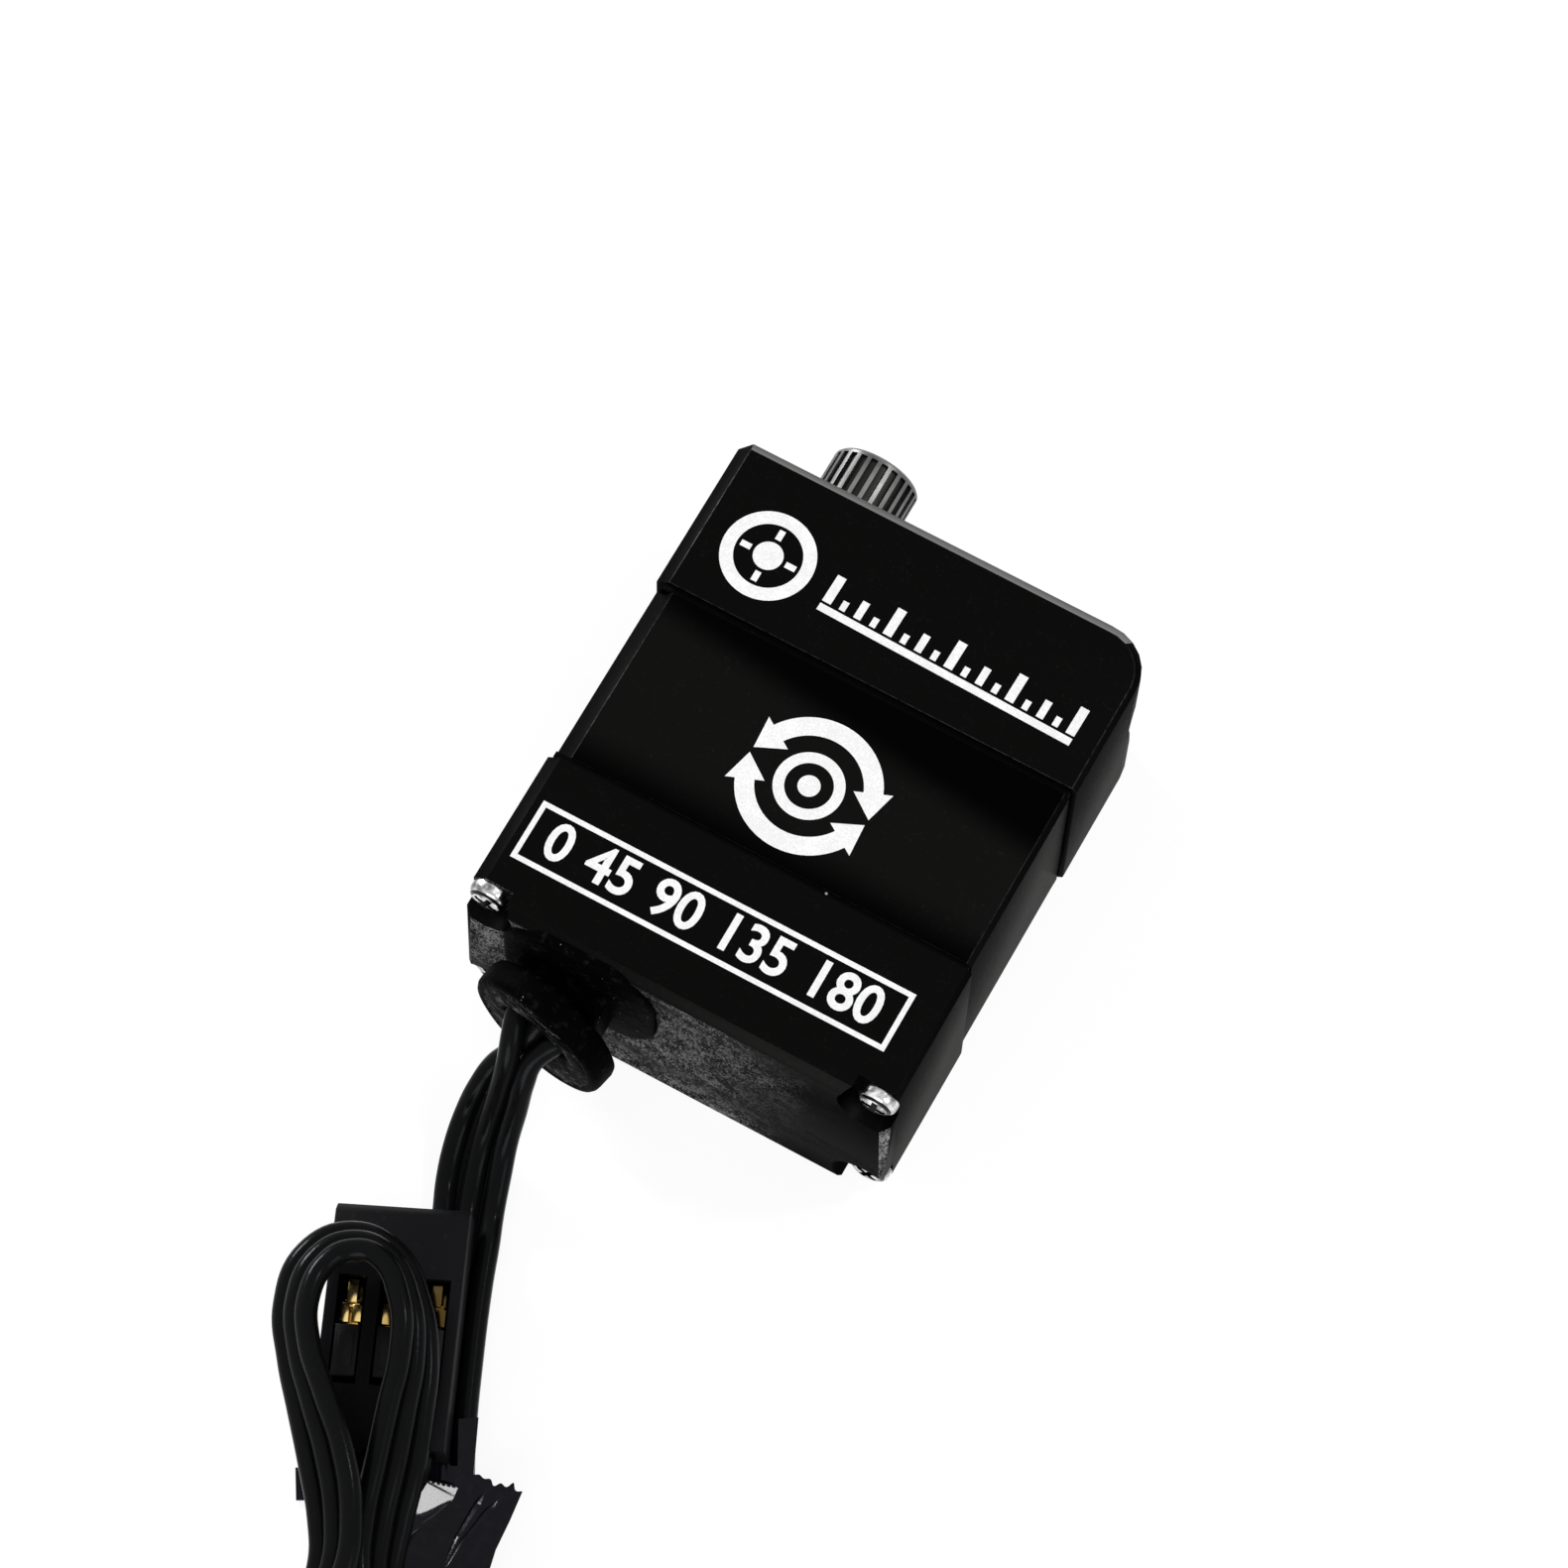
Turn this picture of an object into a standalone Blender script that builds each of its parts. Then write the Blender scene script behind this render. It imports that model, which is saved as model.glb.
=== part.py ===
"""Mini metal-case hobby servo with a stowed three-wire lead, built as separate pieces.

The servo lies on its rear face: +Z points out of the front face, +Y along the output
shaft, +X across the width. The origin is under the middle of the servo, on the surface
it rests on. Heights called "up" run along +Y from the bottom end of the case.
"""
import math

import bmesh
import bpy
from mathutils import Matrix, Vector

MM = 0.001

# Case, outside sizes
CASE_WIDTH = 29.0 * MM
CASE_HEIGHT = 34.7 * MM
CASE_DEPTH = 15.2 * MM
SPLINE_OUT = 4.9 * MM
HALF_WIDTH = CASE_WIDTH / 2
MID_Z = CASE_DEPTH / 2
CASE_END_Y = -(CASE_HEIGHT + SPLINE_OUT) / 2
LOWER_SEAM = 10.6 * MM
UPPER_SEAM = 23.5 * MM
SEAM_GAP = 0.4 * MM
LEFT_CHAMFER = 0.9 * MM
MIDDLE_LEFT_CHAMFER = 1.15 * MM
RIGHT_FRONT_CHAMFER = 0.35 * MM
RIGHT_REAR_CHAMFER = 1.1 * MM
TOP_CHAMFER = 0.74 * MM
BOTTOM_FRONT_CHAMFER = 0.58 * MM
BOTTOM_REAR_CHAMFER = 0.2 * MM
TOP_CORNER_RADIUS = 3.3 * MM
TOP_CORNER_CUT = 0.7 * MM
CORNER_STEPS = 6
SCALLOP_RADIUS = 8.0 * MM
SCALLOP_DEPTH = 0.9 * MM
SCALLOP_Z = 7.9 * MM
MIDDLE_RECESS = 0.25 * MM

# Case, inside
CAVITY_X = 13.4 * MM
CAVITY_Z = 6.4 * MM
BOSS_X = 11.75 * MM
BOSS_Z = 4.75 * MM
END_WALL = 2.0 * MM
PLATE_UNDER = 20.9 * MM
GEAR_ROOM_TOP = 31.2 * MM
GEAR_ROOF_X = (1.9 * MM, 12.9 * MM)
ROOF_POCKET_TOP = 32.4 * MM
PLATE_TOP = UPPER_SEAM - SEAM_GAP / 2
BEYOND = 1.0 * MM

# Case screws in the four corners
SCREW_X = 13.2 * MM
SCREW_Z = 6.05 * MM
SCREW_HOLE = 0.75 * MM
SCREW_SHANK = 0.65 * MM
SCREW_HEAD = 1.3 * MM
SCREW_POCKET = 2.15 * MM
POCKET_DEPTH = 1.45 * MM
HEAD_TOP = 0.5 * MM
SCREW_TIP = 31.2 * MM

# Shafts across the case
OUTPUT_X = -7.5 * MM
PIN_X = 0.5 * MM
MOTOR_X = 6.5 * MM
PIN_RADIUS = 0.75 * MM
PIN_A = (22.1 * MM, 32.3 * MM)
PIN_B = (26.0 * MM, 33.9 * MM)
RUNNING_GAP = 0.07 * MM
GEAR_ROOM = (20.0 * MM, 34.0 * MM)
SMALL_GEAR_SINK = 0.3 * MM

# Teeth and modules of the gear train, from the motor to the output
PINION_TEETH = 8
FIRST_TEETH = 40
FIRST_MODULE = 0.25 * MM
FIRST_SMALL_TEETH = 10
SECOND_TEETH = 38
SECOND_MODULE = 0.25 * MM
SECOND_SMALL_TEETH = 9
THIRD_TEETH = 31
THIRD_MODULE = 0.3 * MM
THIRD_SMALL_TEETH = 14
OUTPUT_TEETH = 26
OUTPUT_MODULE = 0.4 * MM

# Layers of the gear train, as heights up from the bottom end
PINION = (24.3 * MM, 25.85 * MM)
LAYER_1 = (24.4 * MM, 25.8 * MM)
LAYER_2 = (26.1 * MM, 27.4 * MM)
LAYER_3 = (27.7 * MM, 28.9 * MM)
LAYER_4 = (29.3 * MM, 31.0 * MM)

# Output shaft
SPLINE_TEETH = 25
SPLINE_RADIUS = 2.95 * MM
SPLINE_ROOT = 2.68 * MM
SPLINE_COLLAR = 3.02 * MM
SPLINE_START = 35.55 * MM
SHAFT_MOUTH = 3.5 * MM
GEAR_SEAT = 2.58 * MM
SHAFT_FOOT = 20.4 * MM
SOCKET_TOP = 23.1 * MM
SOCKET_RADIUS = 1.15 * MM
SHAFT_FOOT_HOLE = 2.9 * MM
HORN_HOLE = 1.25 * MM
HORN_HOLE_DEPTH = 8.0 * MM

# Ball bearings of the output shaft: inner radius, outer radius, low end, high end
UPPER_BEARING = (2.98 * MM, 4.62 * MM, 31.45 * MM, 33.85 * MM)
LOWER_BEARING = (2.5 * MM, 4.02 * MM, 21.65 * MM, 23.2 * MM)
SEAT_GAP = 0.08 * MM
BALL_SIDES = 5

# Motor
CAN_LOW = 5.6 * MM
CAN_HIGH = 20.6 * MM
CAN_RADIUS = 6.0 * MM
CAN_WALL = 0.5 * MM
MOTOR_SHAFT = 0.4 * MM
MOTOR_NOSE_HOLE = 1.8 * MM
MOTOR_SCREW_Z = 4.25 * MM
TERMINAL_Z = 4.2 * MM
TERMINAL_HALF = (0.5 * MM, 0.15 * MM)

# Control board
BOARD_HALF = (13.1 * MM, 4.5 * MM)
BOARD_LOW = 2.9 * MM
BOARD_HIGH = 3.7 * MM
CHIP_LOW = BOARD_HIGH + 0.1 * MM

# Strain relief and lead
GROMMET_X = -7.3 * MM
GROMMET_TURN = math.radians(12)
FLANGE_RADIUS = 4.9 * MM
FLANGE_CENTRE = (-7.3 * MM, -2.7 * MM, 7.9 * MM)
FLANGE_THICK = 2.0 * MM
SLOT_Z = 8.6 * MM
WIRE_CORE = 0.5 * MM
WIRE_PITCH = 1.35 * MM
TOUCH_GAP = 0.3 * MM

# Plug at the end of the lead
PLUG_SIZE = (8.2 * MM, 14.0 * MM, 2.6 * MM)
PLUG_PITCH = 2.54 * MM
PLUG_TOP_MIDDLE = (-9.8 * MM, -15.5 * MM)
PLUG_TURN = math.radians(24)
PLUG_ROLL = math.radians(-4)
PLUG_LIFT = 2.62 * MM
PLUG_TAIL = 1.2 * MM
WINDOW_HALF = 0.85 * MM
LANE_HALF = 0.95 * MM
CONTACT_HALF = 0.72 * MM

# Folded hank of spare lead, in its own direction on the table
HANK_START = (-11.3 * MM, -18.0 * MM)
HANK_TURN = math.radians(29)
HANK_LENGTH = 36.0 * MM
HANK_HALF_WIDTH = 5.0 * MM
HANK_THICK = 4.2 * MM
TIE_TAIL = [(14.0, 5.35), (15.75, 9.8), (20.6, 7.9), (33.9, 7.2), (33.9, 5.35)]

COLLECTION = "hobby_servo"


def up(height):
    """World Y of a height above the bottom end of the case."""
    return CASE_END_Y + height


def clear_scene():
    for old in list(bpy.data.objects):
        bpy.data.objects.remove(old, do_unlink=True)


def make_collection(name):
    collection = bpy.data.collections.new(name)
    bpy.context.scene.collection.children.link(collection)
    return collection


def make_material(name, colour, roughness, metallic):
    material = bpy.data.materials.new(name)
    material.use_nodes = True
    shader = material.node_tree.nodes["Principled BSDF"]
    shader.inputs["Base Color"].default_value = (*colour, 1.0)
    shader.inputs["Roughness"].default_value = roughness
    shader.inputs["Metallic"].default_value = metallic
    return material


clear_scene()
PARTS = make_collection(COLLECTION)
CUTTERS = make_collection("cutters")

ANODISED = make_material("black_anodised", (0.02, 0.02, 0.02), 0.45, 0.8)
STEEL = make_material("bright_steel", (0.62, 0.62, 0.6), 0.25, 1.0)
PLATED = make_material("plated_screw", (0.75, 0.75, 0.75), 0.2, 1.0)
BRASS = make_material("gear_brass", (0.72, 0.52, 0.25), 0.3, 1.0)
CAN = make_material("motor_can", (0.7, 0.7, 0.7), 0.3, 1.0)
RUBBER = make_material("black_rubber", (0.015, 0.015, 0.015), 0.7, 0.0)
PLASTIC = make_material("black_plastic", (0.02, 0.02, 0.022), 0.4, 0.0)
BOARD = make_material("circuit_board", (0.02, 0.12, 0.06), 0.5, 0.0)
GOLD = make_material("gold_plating", (0.9, 0.65, 0.25), 0.2, 1.0)
COPPER = make_material("winding", (0.6, 0.28, 0.12), 0.35, 1.0)
INSULATION = make_material("wire_insulation", (0.015, 0.015, 0.018), 0.35, 0.0)
STRAP = make_material("tie_strap", (0.015, 0.015, 0.02), 0.2, 0.0)


# ---------------------------------------------------------------- helpers

def add_object(name, mesh, material, collection=PARTS):
    thing = bpy.data.objects.new(name, mesh)
    collection.objects.link(thing)
    if material is not None:
        mesh.materials.append(material)
    if collection is CUTTERS:
        thing.hide_render = True
        thing.display_type = "WIRE"
    return thing


def mesh_from(bm, name, smooth=True):
    bmesh.ops.recalc_face_normals(bm, faces=bm.faces[:])
    mesh = bpy.data.meshes.new(name)
    bm.to_mesh(mesh)
    bm.free()
    if smooth:
        mesh.shade_smooth()
        mesh.set_sharp_from_angle(angle=math.radians(30))
    return mesh


def block(name, low, high, material=None, collection=PARTS):
    """A box between two corners."""
    bm = bmesh.new()
    bmesh.ops.create_cube(bm, size=1.0)
    size = [b - a for a, b in zip(low, high)]
    middle = [(a + b) / 2 for a, b in zip(low, high)]
    bmesh.ops.scale(bm, vec=size, verts=bm.verts[:])
    bmesh.ops.translate(bm, vec=middle, verts=bm.verts[:])
    return add_object(name, mesh_from(bm, name, smooth=False), material, collection)


def rod(name, x, start, end, radius, z=MID_Z, sides=24, material=None, collection=PARTS):
    """A round bar along Y between two heights up the case."""
    bm = bmesh.new()
    bmesh.ops.create_cone(bm, cap_ends=True, segments=sides, radius1=radius,
                          radius2=radius, depth=end - start)
    turn = Matrix.Rotation(math.radians(-90), 3, "X")
    bmesh.ops.rotate(bm, matrix=turn, verts=bm.verts[:])
    bmesh.ops.translate(bm, vec=(0, (start + end) / 2, 0), verts=bm.verts[:])
    thing = add_object(name, mesh_from(bm, name), material, collection)
    thing.location = (x, CASE_END_Y, z)
    return thing


def turned(name, x, profile, z=MID_Z, closed=False, sides=32, material=None,
           collection=PARTS):
    """A profile of (radius, height) points screwed about its own Y axis."""
    bm = bmesh.new()
    points = [bm.verts.new((radius, height, 0)) for radius, height in profile]
    for first, second in zip(points, points[1:]):
        bm.edges.new((first, second))
    if closed:
        bm.edges.new((points[-1], points[0]))
    mesh = bpy.data.meshes.new(name)
    bm.to_mesh(mesh)
    bm.free()
    thing = add_object(name, mesh, material, collection)
    screw = thing.modifiers.new("turn", "SCREW")
    screw.axis = "Y"
    screw.steps = sides
    screw.render_steps = sides
    screw.use_merge_vertices = True
    screw.merge_threshold = 0.00001
    settle(thing)
    thing.location = (x, CASE_END_Y, z)
    return thing


def settle(thing):
    """Turn the evaluated shape into the object's own closed mesh."""
    bpy.context.view_layer.update()
    graph = bpy.context.evaluated_depsgraph_get()
    baked = bpy.data.meshes.new_from_object(thing.evaluated_get(graph))
    bm = bmesh.new()
    bm.from_mesh(baked)
    bmesh.ops.remove_doubles(bm, verts=bm.verts[:], dist=0.000001)
    bmesh.ops.dissolve_degenerate(bm, edges=bm.edges[:], dist=0.000001)
    old = thing.data
    name = thing.name
    thing.modifiers.clear()
    thing.data = mesh_from(bm, name)
    if not thing.data.materials:
        for material in old.materials:
            thing.data.materials.append(material)


def boolean(thing, tool, operation):
    step = thing.modifiers.new(tool.name, "BOOLEAN")
    step.operation = operation
    step.solver = "EXACT"
    step.object = tool
    return thing


def cut(thing, *tools):
    for tool in tools:
        boolean(thing, tool, "DIFFERENCE")
    return thing


def join(thing, *tools):
    for tool in tools:
        boolean(thing, tool, "UNION")
    return thing


def solid_from_outline(name, outlines, low, high, material=None, collection=PARTS):
    """A solid between two world Y values from an XZ outline, or a ring from two."""
    bm = bmesh.new()
    rings = []
    for outline in outlines:
        near = [bm.verts.new((x, low, z)) for x, z in outline]
        far = [bm.verts.new((x, high, z)) for x, z in outline]
        rings.append((near, far))
        wall_between(bm, near, far)
    if len(rings) == 1:
        bm.faces.new(rings[0][0])
        bm.faces.new(rings[0][1])
    else:
        for outer, inner in zip(*rings):
            wall_between(bm, outer, inner)
    return add_object(name, mesh_from(bm, name), material, collection)


def wall_between(bm, first, second):
    """Quads joining two closed loops that have the same number of points."""
    for index in range(len(first)):
        after = (index + 1) % len(first)
        bm.faces.new((first[index], first[after], second[after], second[index]))


def cross_outline(grow=0.0):
    """Inside outline of the case: a box with the four screw bosses left standing."""
    wide, high = CAVITY_X + grow, CAVITY_Z + grow
    step_x, step_z = BOSS_X + grow, BOSS_Z + grow
    quarter = [(wide, step_z), (step_x, step_z), (step_x, high)]
    right_top = quarter
    left_top = [(-x, z) for x, z in reversed(quarter)]
    left_low = [(-x, -z) for x, z in quarter]
    right_low = [(x, -z) for x, z in reversed(quarter)]
    whole = right_top + left_top + left_low + right_low
    return [(x, z + MID_Z) for x, z in whole]


def disc_with_teeth(name, teeth, module, low, high, x, phase, material=None,
                    collection=PARTS, tip=0.8, root=1.15, width=0.40):
    """A spur gear: a many-sided disc whose corners are moved out to the tooth tips."""
    bm = bmesh.new()
    corners = 4 * teeth
    bmesh.ops.create_circle(bm, cap_ends=True, segments=corners, radius=1.0)
    pitch_radius = teeth * module / 2
    tip_radius = pitch_radius + tip * module
    root_radius = pitch_radius - root * module
    step = 2 * math.pi / teeth
    root_half = step * (0.25 + (0.5 - width) * 0.1) * 1.05
    tip_half = step * width * 0.26
    bm.verts.ensure_lookup_table()
    ordered = sorted(bm.verts, key=lambda v: math.atan2(v.co.y, v.co.x) % (2 * math.pi))
    for index, vert in enumerate(ordered):
        tooth, corner = divmod(index, 4)
        offset = (-root_half, -tip_half, tip_half, root_half)[corner]
        radius = (root_radius, tip_radius, tip_radius, root_radius)[corner]
        angle = tooth * step + offset + phase
        vert.co = (radius * math.cos(angle), radius * math.sin(angle), 0)
    faces = bm.faces[:]
    grown = bmesh.ops.extrude_face_region(bm, geom=faces)
    raised = [item for item in grown["geom"] if isinstance(item, bmesh.types.BMVert)]
    bmesh.ops.translate(bm, vec=(0, 0, high - low), verts=raised)
    stand = Matrix(((1, 0, 0), (0, 0, 1), (0, 1, 0)))
    bmesh.ops.transform(bm, matrix=stand.to_4x4(), verts=bm.verts[:])
    bmesh.ops.translate(bm, vec=(0, low, 0), verts=bm.verts[:])
    thing = add_object(name, mesh_from(bm, name, smooth=False), material, collection)
    thing.location = (x, CASE_END_Y, MID_Z)
    return thing


def tube(name, points, radius, material, resolution=2):
    """A wire: a poly curve with a round bevel and filled caps."""
    curve = bpy.data.curves.new(name, "CURVE")
    curve.dimensions = "3D"
    curve.bevel_depth = radius
    curve.bevel_resolution = resolution
    curve.use_fill_caps = True
    spline = curve.splines.new("POLY")
    spline.points.add(len(points) - 1)
    for point, place in zip(spline.points, points):
        point.co = (*place, 1)
    curve.materials.append(material)
    thing = bpy.data.objects.new(name, curve)
    PARTS.objects.link(thing)
    return thing


def smooth_route(points, spacing):
    """Even points along a Catmull-Rom curve through the given ones."""
    places = [Vector(p) for p in points]
    places = [2 * places[0] - places[1]] + places + [2 * places[-1] - places[-2]]
    dense = []
    for a, b, c, d in zip(places, places[1:], places[2:], places[3:]):
        for step in range(24):
            t = step / 24
            dense.append(0.5 * (2 * b + (c - a) * t + (2 * a - 5 * b + 4 * c - d) * t * t
                                + (3 * b - a - 3 * c + d) * t * t * t))
    dense.append(places[-2])
    even = [dense[0]]
    walked = 0.0
    for before, after in zip(dense, dense[1:]):
        walked += (after - before).length
        if walked >= spacing:
            even.append(after)
            walked = 0.0
    if walked > spacing / 2:
        even.append(dense[-1])
    return even


def side_offset(points, distance):
    """The same route moved sideways, square to its level direction."""
    moved = []
    for index, place in enumerate(points):
        before = points[max(index - 1, 0)]
        after = points[min(index + 1, len(points) - 1)]
        along = after - before
        side = Vector((-along.y, along.x, 0)).normalized()
        moved.append(place + side * distance)
    return moved


# ---------------------------------------------------------------- case

def chamfered_section(name, low, high, shrink=0.0, left=LEFT_CHAMFER, top=False,
                      bottom=False):
    """One case section as the hull of the corners of its chamfered outline."""
    wide = HALF_WIDTH - shrink
    bm = bmesh.new()
    front, rear = (CASE_DEPTH - shrink, -1), (shrink, 1)
    for side, (face, inward), chamfer in ((-1, front, left), (-1, rear, left),
                                          (1, front, RIGHT_FRONT_CHAMFER),
                                          (1, rear, RIGHT_REAR_CHAMFER)):
        edge = face + inward * chamfer
        points = bottom_points(side * wide, side, low, face, inward, chamfer, bottom)
        if not top:
            points += [(side * (wide - chamfer), high, face), (side * wide, high, edge)]
        elif side > 0:
            points += round_corner_points(wide, high, face, inward, chamfer)
        else:
            points += cut_corner_points(wide, high, face, inward, chamfer)
        for x, height, z in points:
            bm.verts.new((x, up(height), z))
    bmesh.ops.convex_hull(bm, input=bm.verts[:])
    bmesh.ops.dissolve_limit(bm, angle_limit=math.radians(1), verts=bm.verts[:],
                             edges=bm.edges[:])
    loose = [vert for vert in bm.verts if not vert.link_faces]
    bmesh.ops.delete(bm, geom=loose, context="VERTS")
    return add_object(name, mesh_from(bm, name, smooth=False), ANODISED)


def bottom_points(x, side, low, face, inward, chamfer, chamfered):
    """Low end of one long edge, square or with the bottom chamfer too."""
    flat_x = x - side * chamfer
    edge = face + inward * chamfer
    if not chamfered:
        return [(flat_x, low, face), (x, low, edge)]
    slope = BOTTOM_FRONT_CHAMFER if inward < 0 else BOTTOM_REAR_CHAMFER
    lift = low + slope
    inner = face + inward * (chamfer + slope)
    return [(flat_x, lift, face), (x, lift, edge), (x - side * slope, low, inner),
            (flat_x - side * slope, low, face + inward * slope)]


def round_corner_points(wide, high, face, inward, chamfer):
    """Round top corner, on the flat face and on the outer edge."""
    radius = TOP_CORNER_RADIUS
    points = []
    for step in range(CORNER_STEPS + 1):
        angle = math.radians(90) * step / CORNER_STEPS
        across, along = math.cos(angle), math.sin(angle)
        depth = chamfer + (TOP_CHAMFER - chamfer) * step / CORNER_STEPS
        centre_x, centre_up = wide - radius, high - radius
        points.append((centre_x + radius * across, centre_up + radius * along,
                       face + inward * depth))
        points.append((centre_x + (radius - depth) * across,
                       centre_up + (radius - depth) * along, face))
    return points


def cut_corner_points(wide, high, face, inward, chamfer):
    """Top corner with a small straight cut."""
    lift = high - TOP_CORNER_CUT
    return [(-wide, lift, face + inward * chamfer),
            (-wide + TOP_CORNER_CUT, high, face + inward * TOP_CHAMFER),
            (-wide + chamfer, lift, face),
            (-wide + max(chamfer, TOP_CORNER_CUT), high - TOP_CHAMFER, face)]


def screw_places():
    return [(sx * SCREW_X, MID_Z + sz * SCREW_Z) for sz in (1, -1) for sx in (-1, 1)]


def screw_hole_tools(prefix, start, end):
    return [rod(f"{prefix}_screw_hole_{n}", x, start, end, SCREW_HOLE, z=z, sides=16,
                collection=CUTTERS) for n, (x, z) in enumerate(screw_places(), 1)]


def make_gear_case():
    low = UPPER_SEAM + SEAM_GAP / 2
    case = chamfered_section("gear_case", low, CASE_HEIGHT, top=True)
    room = solid_from_outline("gear_room", [cross_outline()], up(low - BEYOND),
                              up(GEAR_ROOM_TOP), collection=CUTTERS)
    roof = GEAR_ROOM_TOP - BEYOND
    pocket = block("roof_pocket", (GEAR_ROOF_X[0], up(roof), MID_Z - BOSS_Z),
                   (GEAR_ROOF_X[1], up(ROOF_POCKET_TOP), MID_Z + BOSS_Z),
                   collection=CUTTERS)
    seat = rod("upper_bearing_seat", OUTPUT_X, roof, UPPER_BEARING[3] + SEAT_GAP,
               UPPER_BEARING[1] + SEAT_GAP, sides=40, collection=CUTTERS)
    mouth = rod("shaft_mouth", OUTPUT_X, UPPER_BEARING[2], CASE_HEIGHT + BEYOND,
                SHAFT_MOUTH, sides=40, collection=CUTTERS)
    hole = PIN_RADIUS + RUNNING_GAP
    pin_a = rod("pin_a_roof_hole", PIN_X, roof, PIN_A[1] + 0.2 * MM, hole, sides=16,
                collection=CUTTERS)
    pin_b = rod("pin_b_roof_hole", MOTOR_X, roof, PIN_B[1] + 0.2 * MM, hole, sides=16,
                collection=CUTTERS)
    cut(case, room, pocket, seat, mouth, pin_a, pin_b,
        *screw_hole_tools("gear_case", low - BEYOND, SCREW_TIP + 0.4 * MM))
    return cut(case, scallop_tool())


def scallop_tool():
    """A wide shallow hollow across the round top corner, between front and rear."""
    bm = bmesh.new()
    bmesh.ops.create_cone(bm, cap_ends=True, segments=72, radius1=SCALLOP_RADIUS,
                          radius2=SCALLOP_RADIUS, depth=12 * MM)
    bmesh.ops.rotate(bm, matrix=Matrix.Rotation(math.radians(90), 3, "X"),
                     verts=bm.verts[:])
    tool = add_object("corner_scallop", mesh_from(bm, "corner_scallop"), None, CUTTERS)
    outward = math.sqrt(0.5)
    reach = TOP_CORNER_RADIUS - SCALLOP_DEPTH + SCALLOP_RADIUS
    tool.location = (HALF_WIDTH - TOP_CORNER_RADIUS + outward * reach,
                     up(CASE_HEIGHT - TOP_CORNER_RADIUS) + outward * reach, SCALLOP_Z)
    tool.rotation_euler = (0, 0, math.radians(45))
    return tool


def make_middle_case():
    low = LOWER_SEAM + SEAM_GAP / 2
    high = PLATE_TOP
    under, above = PLATE_UNDER - BEYOND, PLATE_TOP + BEYOND
    case = chamfered_section("middle_case", low, high, MIDDLE_RECESS, MIDDLE_LEFT_CHAMFER)
    room = solid_from_outline("motor_room", [cross_outline()], up(low - BEYOND),
                              up(PLATE_UNDER), collection=CUTTERS)
    seat = rod("lower_bearing_seat", OUTPUT_X, LOWER_BEARING[2] - SEAT_GAP, above,
               LOWER_BEARING[1] + SEAT_GAP, sides=36, collection=CUTTERS)
    foot = rod("shaft_foot_hole", OUTPUT_X, under, LOWER_BEARING[3], SHAFT_FOOT_HOLE,
               sides=28, collection=CUTTERS)
    nose = rod("motor_nose_hole", MOTOR_X, under, above, MOTOR_NOSE_HOLE, sides=24,
               collection=CUTTERS)
    pin_a = rod("pin_a_plate_hole", PIN_X, PIN_A[0] - 0.1 * MM, above,
                PIN_RADIUS + RUNNING_GAP, sides=16, collection=CUTTERS)
    return cut(case, room, seat, foot, nose, pin_a,
               *motor_screw_tools("motor", under, above),
               *screw_hole_tools("middle_case", low - BEYOND, high + BEYOND))


def motor_screw_tools(prefix, low, high):
    return [rod(f"{prefix}_screw_hole_{n}", MOTOR_X, low, high, SCREW_HOLE,
                z=MID_Z + sign * MOTOR_SCREW_Z, sides=16, collection=CUTTERS)
            for n, sign in enumerate((1, -1), 1)]


def make_bottom_cover():
    high = LOWER_SEAM - SEAM_GAP / 2
    cover = chamfered_section("bottom_cover", 0.0, high, bottom=True)
    room = solid_from_outline("board_room", [cross_outline()], up(END_WALL),
                              up(high + BEYOND), collection=CUTTERS)
    pockets = [rod(f"screw_pocket_{n}", x, -BEYOND, POCKET_DEPTH, SCREW_POCKET, z=z,
                   sides=32, collection=CUTTERS)
               for n, (x, z) in enumerate(screw_places(), 1)]
    recess = rounded_prism("grommet_recess", (-6.35 * MM, 9.9 * MM),
                           (10.5 * MM, 8.6 * MM), 3.4 * MM, -BEYOND, 1.2 * MM)
    slot = rounded_prism("grommet_slot", (GROMMET_X, SLOT_Z), (6.0 * MM, 4.4 * MM),
                         1.6 * MM, 0.5 * MM, END_WALL + BEYOND)
    return cut(cover, room, recess, slot, *pockets,
               *screw_hole_tools("bottom_cover", POCKET_DEPTH - BEYOND, high + BEYOND))


def rounded_prism(name, centre, size, radius, low, high, material=None,
                  collection=CUTTERS):
    """A box along Y with four round long edges."""
    outline = []
    for quarter in range(4):
        turn = math.radians(90) * quarter
        sign_x = 1 if quarter in (0, 3) else -1
        sign_z = 1 if quarter in (0, 1) else -1
        corner_x = centre[0] + sign_x * (size[0] / 2 - radius)
        corner_z = centre[1] + sign_z * (size[1] / 2 - radius)
        for step in range(5):
            angle = turn + math.radians(90) * step / 4
            outline.append((corner_x + radius * math.cos(angle),
                            corner_z + radius * math.sin(angle)))
    return solid_from_outline(name, [outline], up(low), up(high), material, collection)


def make_gaskets():
    for name, seam in (("lower_gasket", LOWER_SEAM), ("upper_gasket", UPPER_SEAM)):
        half = SEAM_GAP / 2 - 0.05 * MM
        solid_from_outline(name, [cross_outline(0.55 * MM), cross_outline(0.1 * MM)],
                           up(seam - half), up(seam + half), RUBBER)


def cross_slot(prefix, x, z, tops, size):
    """Two crossed blades that cut a cross recess into a screw head."""
    long_half, thin_half = size
    tools = []
    for part, (half_x, half_z) in enumerate(((long_half, thin_half),
                                             (thin_half, long_half)), 1):
        tools.append(block(f"{prefix}_slot_{part}", (x - half_x, up(tops[0]), z - half_z),
                           (x + half_x, up(tops[1]), z + half_z), collection=CUTTERS))
    return tools


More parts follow.
